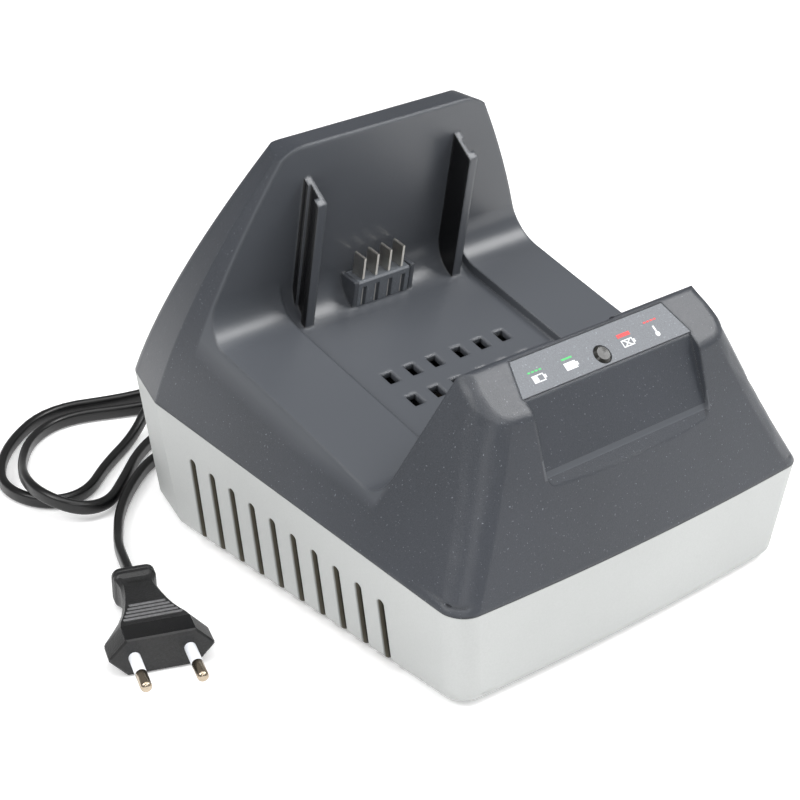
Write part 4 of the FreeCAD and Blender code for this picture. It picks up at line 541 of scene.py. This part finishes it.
def strap_loop():
    low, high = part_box("coil_tie")
    width, thick, bend = high.y - low.y, 0.8 * MM, 1.6 * MM
    outer, inner = [], []
    x0, x1, z0, z1 = low.x, high.x, low.z, high.z
    corners = [(x1 - bend, z1 - bend, 0), (x0 + bend, z1 - bend, 90), (x0 + bend, z0 + bend, 180),
               (x1 - bend, z0 + bend, 270)]
    for x, z, start in corners:
        for step in range(7):
            turn = math.radians(start + 15 * step)
            outer.append((x + bend * math.cos(turn), z + bend * math.sin(turn)))
            inner.append((x + (bend - thick) * math.cos(turn), z + (bend - thick) * math.sin(turn)))
    middle, half = (low.y + high.y) / 2, width / 2
    rings = []
    # the outside is a little thinner at both rims
    for y, share in ((-half, 0.8), (-half * 0.8, 1.0), (half * 0.8, 1.0), (half, 0.8)):
        rings.append([(a[0] * share + b[0] * (1 - share), middle + y, a[1] * share + b[1] * (1 - share))
                      for a, b in zip(outer, inner)])
    for y in (half, -half):
        rings.append([(x, middle + y, z) for x, z in inner])
    rings.append(rings[0])
    mesh = skinned(rings, closed_ends=False)
    bmesh.ops.remove_doubles(mesh, verts=mesh.verts, dist=1e-7)
    return mesh


coil_tie = piece("tie_strap", finished("tie_strap", strap_loop(), 40), STRAP, ["coil_tie"])


# Plug, in its own frame: the front face at 0, the cord's end at -46 along X

PLUG_AT = Vector((-133.8, -6.7, 6.95)) * MM
PLUG_TURN = math.radians(-112.0)
PLUG_PLACE = Matrix.Translation(PLUG_AT) @ Matrix.Rotation(PLUG_TURN, 4, "Z")


def eight_sided(x, wide, flat, side, tall):
    """A section with sloping corners, from the halves of its width, flat top, upright side and height."""
    return [Vector((x, y, z)) * MM for y, z in (
        (-wide, -side), (-wide, side), (-flat, tall), (flat, tall),
        (wide, side), (wide, -side), (flat, -tall), (-flat, -tall))]


def plug_body():
    """The body as stages along it: place, half width, half flat top, half upright side and half height."""
    stages = [(0.0, 17.05, 11.2, 0.35, 6.3), (-0.6, 17.65, 11.65, 0.45, 6.85), (-8.8, 17.5, 11.7, 0.6, 6.85),
              (-9.6, 17.0, 11.5, 0.9, 6.8), (-12.0, 14.2, 11.0, 2.6, 6.45), (-15.0, 11.4, 9.6, 4.0, 6.3),
              (-19.0, 9.4, 8.2, 4.3, 6.0), (-24.0, 8.0, 6.9, 4.2, 5.7), (-30.0, 6.8, 5.7, 4.0, 5.4),
              (-36.0, 6.0, 4.9, 3.8, 5.2), (-38.5, 6.2, 5.1, 4.0, 5.4), (-40.5, 6.9, 5.8, 4.7, 6.0)]
    return skinned([eight_sided(*stage) for stage in stages])


RIB_COUNT, RIB_APART, RIB_TALL, RIB_SUNK = 5, 2.3, 0.9, 0.35
RIB_PROFILE = ((-0.85, -1.5), (-0.75, 0.4), (-0.35, 1.0), (0.35, 1.0), (0.75, 0.4), (0.85, -1.5))


def grip_ribs():
    """Low rounded ribs across the top and the underside of the grip, that end flat at both sides."""
    ribs = []
    for number in range(RIB_COUNT):
        x = FIRST_RIB / MM - RIB_APART * number
        half = 10.2 - 0.95 * number
        height = 6.5 - 0.16 * number
        for side in (-1, 1):
            rings = []
            for share, tall in ((-1.0, 0.05), (-0.96, RIB_TALL), (0.96, RIB_TALL), (1.0, 0.05)):
                rings.append([Vector((x + dx, half * share, side * (height - RIB_SUNK + rise * tall))) * MM
                              for dx, rise in RIB_PROFILE])
            ribs.append(skinned(rings))
    return ribs


def rounded_plate(x, wide, tall, radius, count=6):
    ring = []
    for cy, cz, start in ((wide - radius, tall - radius, 0), (radius - wide, tall - radius, 90),
                          (radius - wide, radius - tall, 180), (wide - radius, radius - tall, 270)):
        for step in range(count + 1):
            turn = math.radians(start + 90 * step / count)
            ring.append(Vector((x, cy + radius * math.cos(turn), cz + radius * math.sin(turn))) * MM)
    return ring


def plug_collar():
    """The rounded plate where the cord enters, with a groove round its rim."""
    stages = [(-46.0, 6.6, 5.9, 2.4), (-45.6, 7.2, 6.45, 2.8), (-45.0, 7.5, 6.75, 3.0),
              (-43.6, 7.5, 6.75, 3.0), (-43.3, 7.2, 6.45, 2.8), (-43.0, 7.2, 6.45, 2.8),
              (-42.7, 7.5, 6.75, 3.0), (-41.4, 7.45, 6.7, 3.0), (-40.6, 7.1, 6.3, 2.8),
              (-39.6, 6.5, 5.7, 2.4)]
    return skinned([rounded_plate(*stage) for stage in stages])


plug_mesh = merged([plug_body(), plug_collar()] + grip_ribs())
plug = piece("plug", finished("plug", plug_mesh, 50), PLUG, ["plug_body"])
plug.matrix_world = PLUG_PLACE
softened(plug, 0.35 * MM, 24.0)

PIN_ASIDE, PIN_ROUND = 9.3, 28
PIN_PROFILE = ((-1.0, 1.55), (10.0, 1.55), (10.0, 1.92), (10.2, 2.0), (17.2, 2.0), (18.0, 1.86), (18.6, 1.4),
               (18.9, 0.8))
SLEEVE_PROFILE = ((0.0, 1.9), (0.0, 2.0), (9.7, 2.0), (10.0, 1.9), (10.0, 1.6))


def turned_about_pin(profile, side):
    """A form turned about a pin's middle line, from places along it and radii."""
    turns = [math.tau * i / PIN_ROUND for i in range(PIN_ROUND)]
    return skinned([[Vector((x, side * PIN_ASIDE + radius * math.cos(turn), radius * math.sin(turn))) * MM
                     for turn in turns] for x, radius in profile])


pins = []
for number, side in ((1, -1), (2, 1)):
    tip = finished("pin", turned_about_pin(PIN_PROFILE, side), 40)
    sleeve = finished("sleeve", turned_about_pin(SLEEVE_PROFILE, side), 40)
    pins.append(piece(f"pin_tip_{number}", tip, PIN, [f"plug_pin_{number}"]))
    pins.append(piece(f"pin_sleeve_white_{number}", sleeve, WHITE_SLEEVE,
                      [f"pin_sleeve_{number}"]))
for pin in pins:
    pin.matrix_world = PLUG_PLACE


# Bezel: printed signs of the charger's own, in the bezel's frame

CONSOLE = Matrix.Translation(Vector((0, -69.02, 98.13)) * MM) @ Matrix.Rotation(math.radians(37.2), 4, "X")
INK = 0.06


def stamped(outlines):
    """Thin slabs of ink from closed outlines in the bezel's plane, given as (x, y) points."""
    slabs = []
    for outline in outlines:
        rings = [[Vector((x, y, z)) * MM for x, y in outline] for z in (0.005, INK)]
        slabs.append(skinned(rings))
    return merged(slabs)


def tile(x, y, wide, tall):
    return [(x - wide / 2, y - tall / 2), (x + wide / 2, y - tall / 2), (x + wide / 2, y + tall / 2),
            (x - wide / 2, y + tall / 2)]


def stroke(start, end, wide):
    (x0, y0), (x1, y1) = start, end
    long = math.hypot(x1 - x0, y1 - y0)
    a, b = -(y1 - y0) / long * wide / 2, (x1 - x0) / long * wide / 2
    return [(x0 - a, y0 - b), (x1 - a, y1 - b), (x1 + a, y1 + b), (x0 + a, y0 + b)]


def knob(x, y, wide, tall):
    """The terminal at the right end of a battery."""
    return tile(x + wide / 2 + 0.4, y, 0.8, tall * 0.45)


def cell_frame(x, y, wide, tall, line):
    """The outline of a battery, lying on its side with its terminal to the right."""
    return [tile(x, y + (tall - line) / 2, wide, line), tile(x, y - (tall - line) / 2, wide, line),
            tile(x - (wide - line) / 2, y, line, tall - 2 * line),
            tile(x + (wide - line) / 2, y, line, tall - 2 * line), knob(x, y, wide, tall)]


def disc(x, y, radius, count=20):
    return [(x + radius * math.cos(math.tau * i / count), y + radius * math.sin(math.tau * i / count))
            for i in range(count)]


CELL_WIDE, CELL_TALL, CELL_LINE, ROW, BARS = 5.0, 2.7, 0.35, -2.0, 0.75
CROSS_WIDE, CROSS_TALL, CROSS_LINE = 1.3, 1.0, 0.45
CHARGING, CHARGED, FAULTY, HOT = -28.2, -14.0, 12.2, 25.6


def dashes(x, y, first, apart, wide, tall, count=4):
    """A row of bars; the first one lies that far aside of x."""
    return [tile(x + first + apart * i, y, wide, tall) for i in range(count)]


white = cell_frame(CHARGING, ROW, CELL_WIDE, CELL_TALL, CELL_LINE)
white += [tile(CHARGING - CELL_WIDE / 4, ROW, CELL_WIDE / 2 - 0.3, CELL_TALL - 0.5)]
white += [tile(CHARGED, ROW, CELL_WIDE, CELL_TALL), knob(CHARGED, ROW, CELL_WIDE, CELL_TALL)]
white += cell_frame(FAULTY, ROW, CELL_WIDE, CELL_TALL, CELL_LINE)
white += [stroke((FAULTY - CROSS_WIDE, ROW - rise), (FAULTY + CROSS_WIDE, ROW + rise), CROSS_LINE)
          for rise in (CROSS_TALL, -CROSS_TALL)]
white += [disc(HOT, ROW - 1.0, 0.95), stroke((HOT, ROW - 0.5), (HOT, ROW + 2.2), 0.75)]
green = dashes(CHARGING, BARS, -2.4, 1.6, 1.1, 0.55) + [tile(CHARGED, BARS, 4.6, 0.6)]
red = dashes(FAULTY, BARS + 0.35, -2.2, 1.5, 1.35, 1.35) + dashes(HOT, BARS + 1.5, -2.4, 1.6, 1.1, 0.55)
for name, outlines, ink in (("white_signs", white, INK_WHITE), ("green_bars", green, INK_GREEN),
                            ("red_bars", red, INK_RED)):
    signs = piece(name, finished(name, stamped(outlines), 20), ink)
    signs.matrix_world = CONSOLE


# Contact blades: painted highlights, pale strips on their front edges, show as bright lines in the block's
# grooves

WALL_FOOT = Vector((0, 48.31, 80.55)) * MM
WALL_LEAN = math.radians(10.45)
# half width, front, back, lower end and upper end of a strip, in the wall's frame
IN_THE_GROOVE = (0.3, -7.35, -7.15, -0.9, 7.1)
ABOVE_THE_BLOCK = (0.42, -7.06, -6.98, 9.75, 18.2)


def slim_block(x, half, front, back, low, high):
    """A thin upright strip."""
    corners = ((x - half, front), (x + half, front), (x + half, back), (x - half, back))
    return skinned([[Vector((*corner, z)) * MM for corner in corners] for z in (low, high)])


# painted highlight strips on the blades' front edges
blade_edge_highlights = []
for number in (1, 2, 3, 4):
    low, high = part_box(f"contact_blade_{number}")
    middle = (low.x + high.x) / 2 / MM
    blade_edge_highlights += [slim_block(middle, *strip) for strip in (IN_THE_GROOVE, ABOVE_THE_BLOCK)]
edges = piece("blade_edge_highlights", finished("blade_edge_highlights", merged(blade_edge_highlights), 30), BLADE_HIGHLIGHT)
edges.matrix_world = Matrix.Translation(WALL_FOOT) @ Matrix.Rotation(WALL_LEAN, 4, "X")


# Finishes of the CAD nodes

DRESS = {
    SHELL: ["upper_housing"], TUB: ["base_housing"], BEZEL: ["indicator_bezel", "terminal_block"],
    LENS: ["led_lens"], EPOXY: ["status_led"], BOARD: ["main_board", "indicator_board"],
    BLACK: ["power_transistors", "output_rectifiers", "strain_relief"],
    BLADE: [f"contact_blade_{i}" for i in (1, 2, 3, 4)],
    ZINC: ["board_screws", "indicator_screws", "case_screws"],
    GLASS: ["mains_fuse"], COPPER: ["mains_choke", "fan_stator"], TAPE: ["transformer_winding"],
    FERRITE: ["transformer_core"], SINK: ["primary_heatsink", "secondary_heatsink"],
    BRONZE: ["fan_bearing"], CAN: ["bulk_capacitor", "output_capacitors"], RELAY: ["relay"],
    TERMINAL: ["mains_inlet_block"], FAN: ["fan_frame", "fan_rotor"],
    FOOT: [f"rubber_foot_{i}" for i in (1, 2, 3, 4)],
    WIRES: ["mains_leads", "output_leads", "indicator_leads", "fan_lead"],
}
for finish, nodes in DRESS.items():
    for name in nodes:
        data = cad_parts[name].data
        data.materials.clear()
        data.materials.append(finish.material)


# Floor, light and air

def slab(name, half, z):
    mesh = bmesh.new()
    corners = ((-half, -half), (half, -half), (half, half), (-half, half))
    mesh.faces.new([mesh.verts.new((x, y, z)) for x, y in corners])
    data = bpy.data.meshes.new(name)
    mesh.to_mesh(data)
    mesh.free()
    item = bpy.data.objects.new(name, data)
    bpy.context.scene.collection.objects.link(item)
    return item


FLOOR_HALF, FLOOR_Z = 4.0, -0.0002
floor = slab("floor", FLOOR_HALF, FLOOR_Z)
paper = Finish("floor_paper")
paper.shader(Base_Color=paper.blend(paper.noise(3.0), tone(243, 243, 243), tone(247, 247, 247)), Roughness=0.85,
             Specular_IOR_Level=0.1, Emission_Color=(1.0, 1.0, 1.0, 1.0), Emission_Strength=0.25)
floor.data.materials.append(paper.material)


def lamp(name, place, target, wide, tall, power):
    """A soft box that faces a point."""
    data = bpy.data.lights.new(name, "AREA")
    data.shape, data.size, data.size_y, data.energy = "RECTANGLE", wide, tall, power
    item = bpy.data.objects.new(name, data)
    item.location = place
    item.rotation_mode = "QUATERNION"
    item.rotation_quaternion = (Vector(target) - Vector(place)).to_track_quat("-Z", "Y")
    bpy.context.scene.collection.objects.link(item)


lamp("top_box", (-0.05, -0.1, 1.3), (0, 0, 0.05), 1.2, 0.9, 8.8)
lamp("right_box", (0.72, -0.42, 0.92), (0, 0, 0.05), 0.5, 0.6, 10.0)
lamp("left_box", (-0.85, 0.17, 0.88), (0, 0, 0.05), 0.4, 0.5, 6.5)
lamp("front_box", (0.0, -1.0, 1.05), (0, 0, 0.06), 0.7, 0.5, 4.3)
lamp("near_box", (-0.75, -0.85, 0.7), (0, 0, 0.06), 0.25, 0.6, 2.6)

AIR_LIGHT = 0.26
air = bpy.data.worlds.new("studio_air")
bpy.context.scene.world = air
air.use_nodes = True
background = air.node_tree.nodes["Background"]
background.inputs["Color"].default_value = (1.0, 1.0, 1.0, 1.0)
background.inputs["Strength"].default_value = AIR_LIGHT
bpy.context.scene.view_settings.view_transform = "Standard"

bpy.context.view_layer.update()
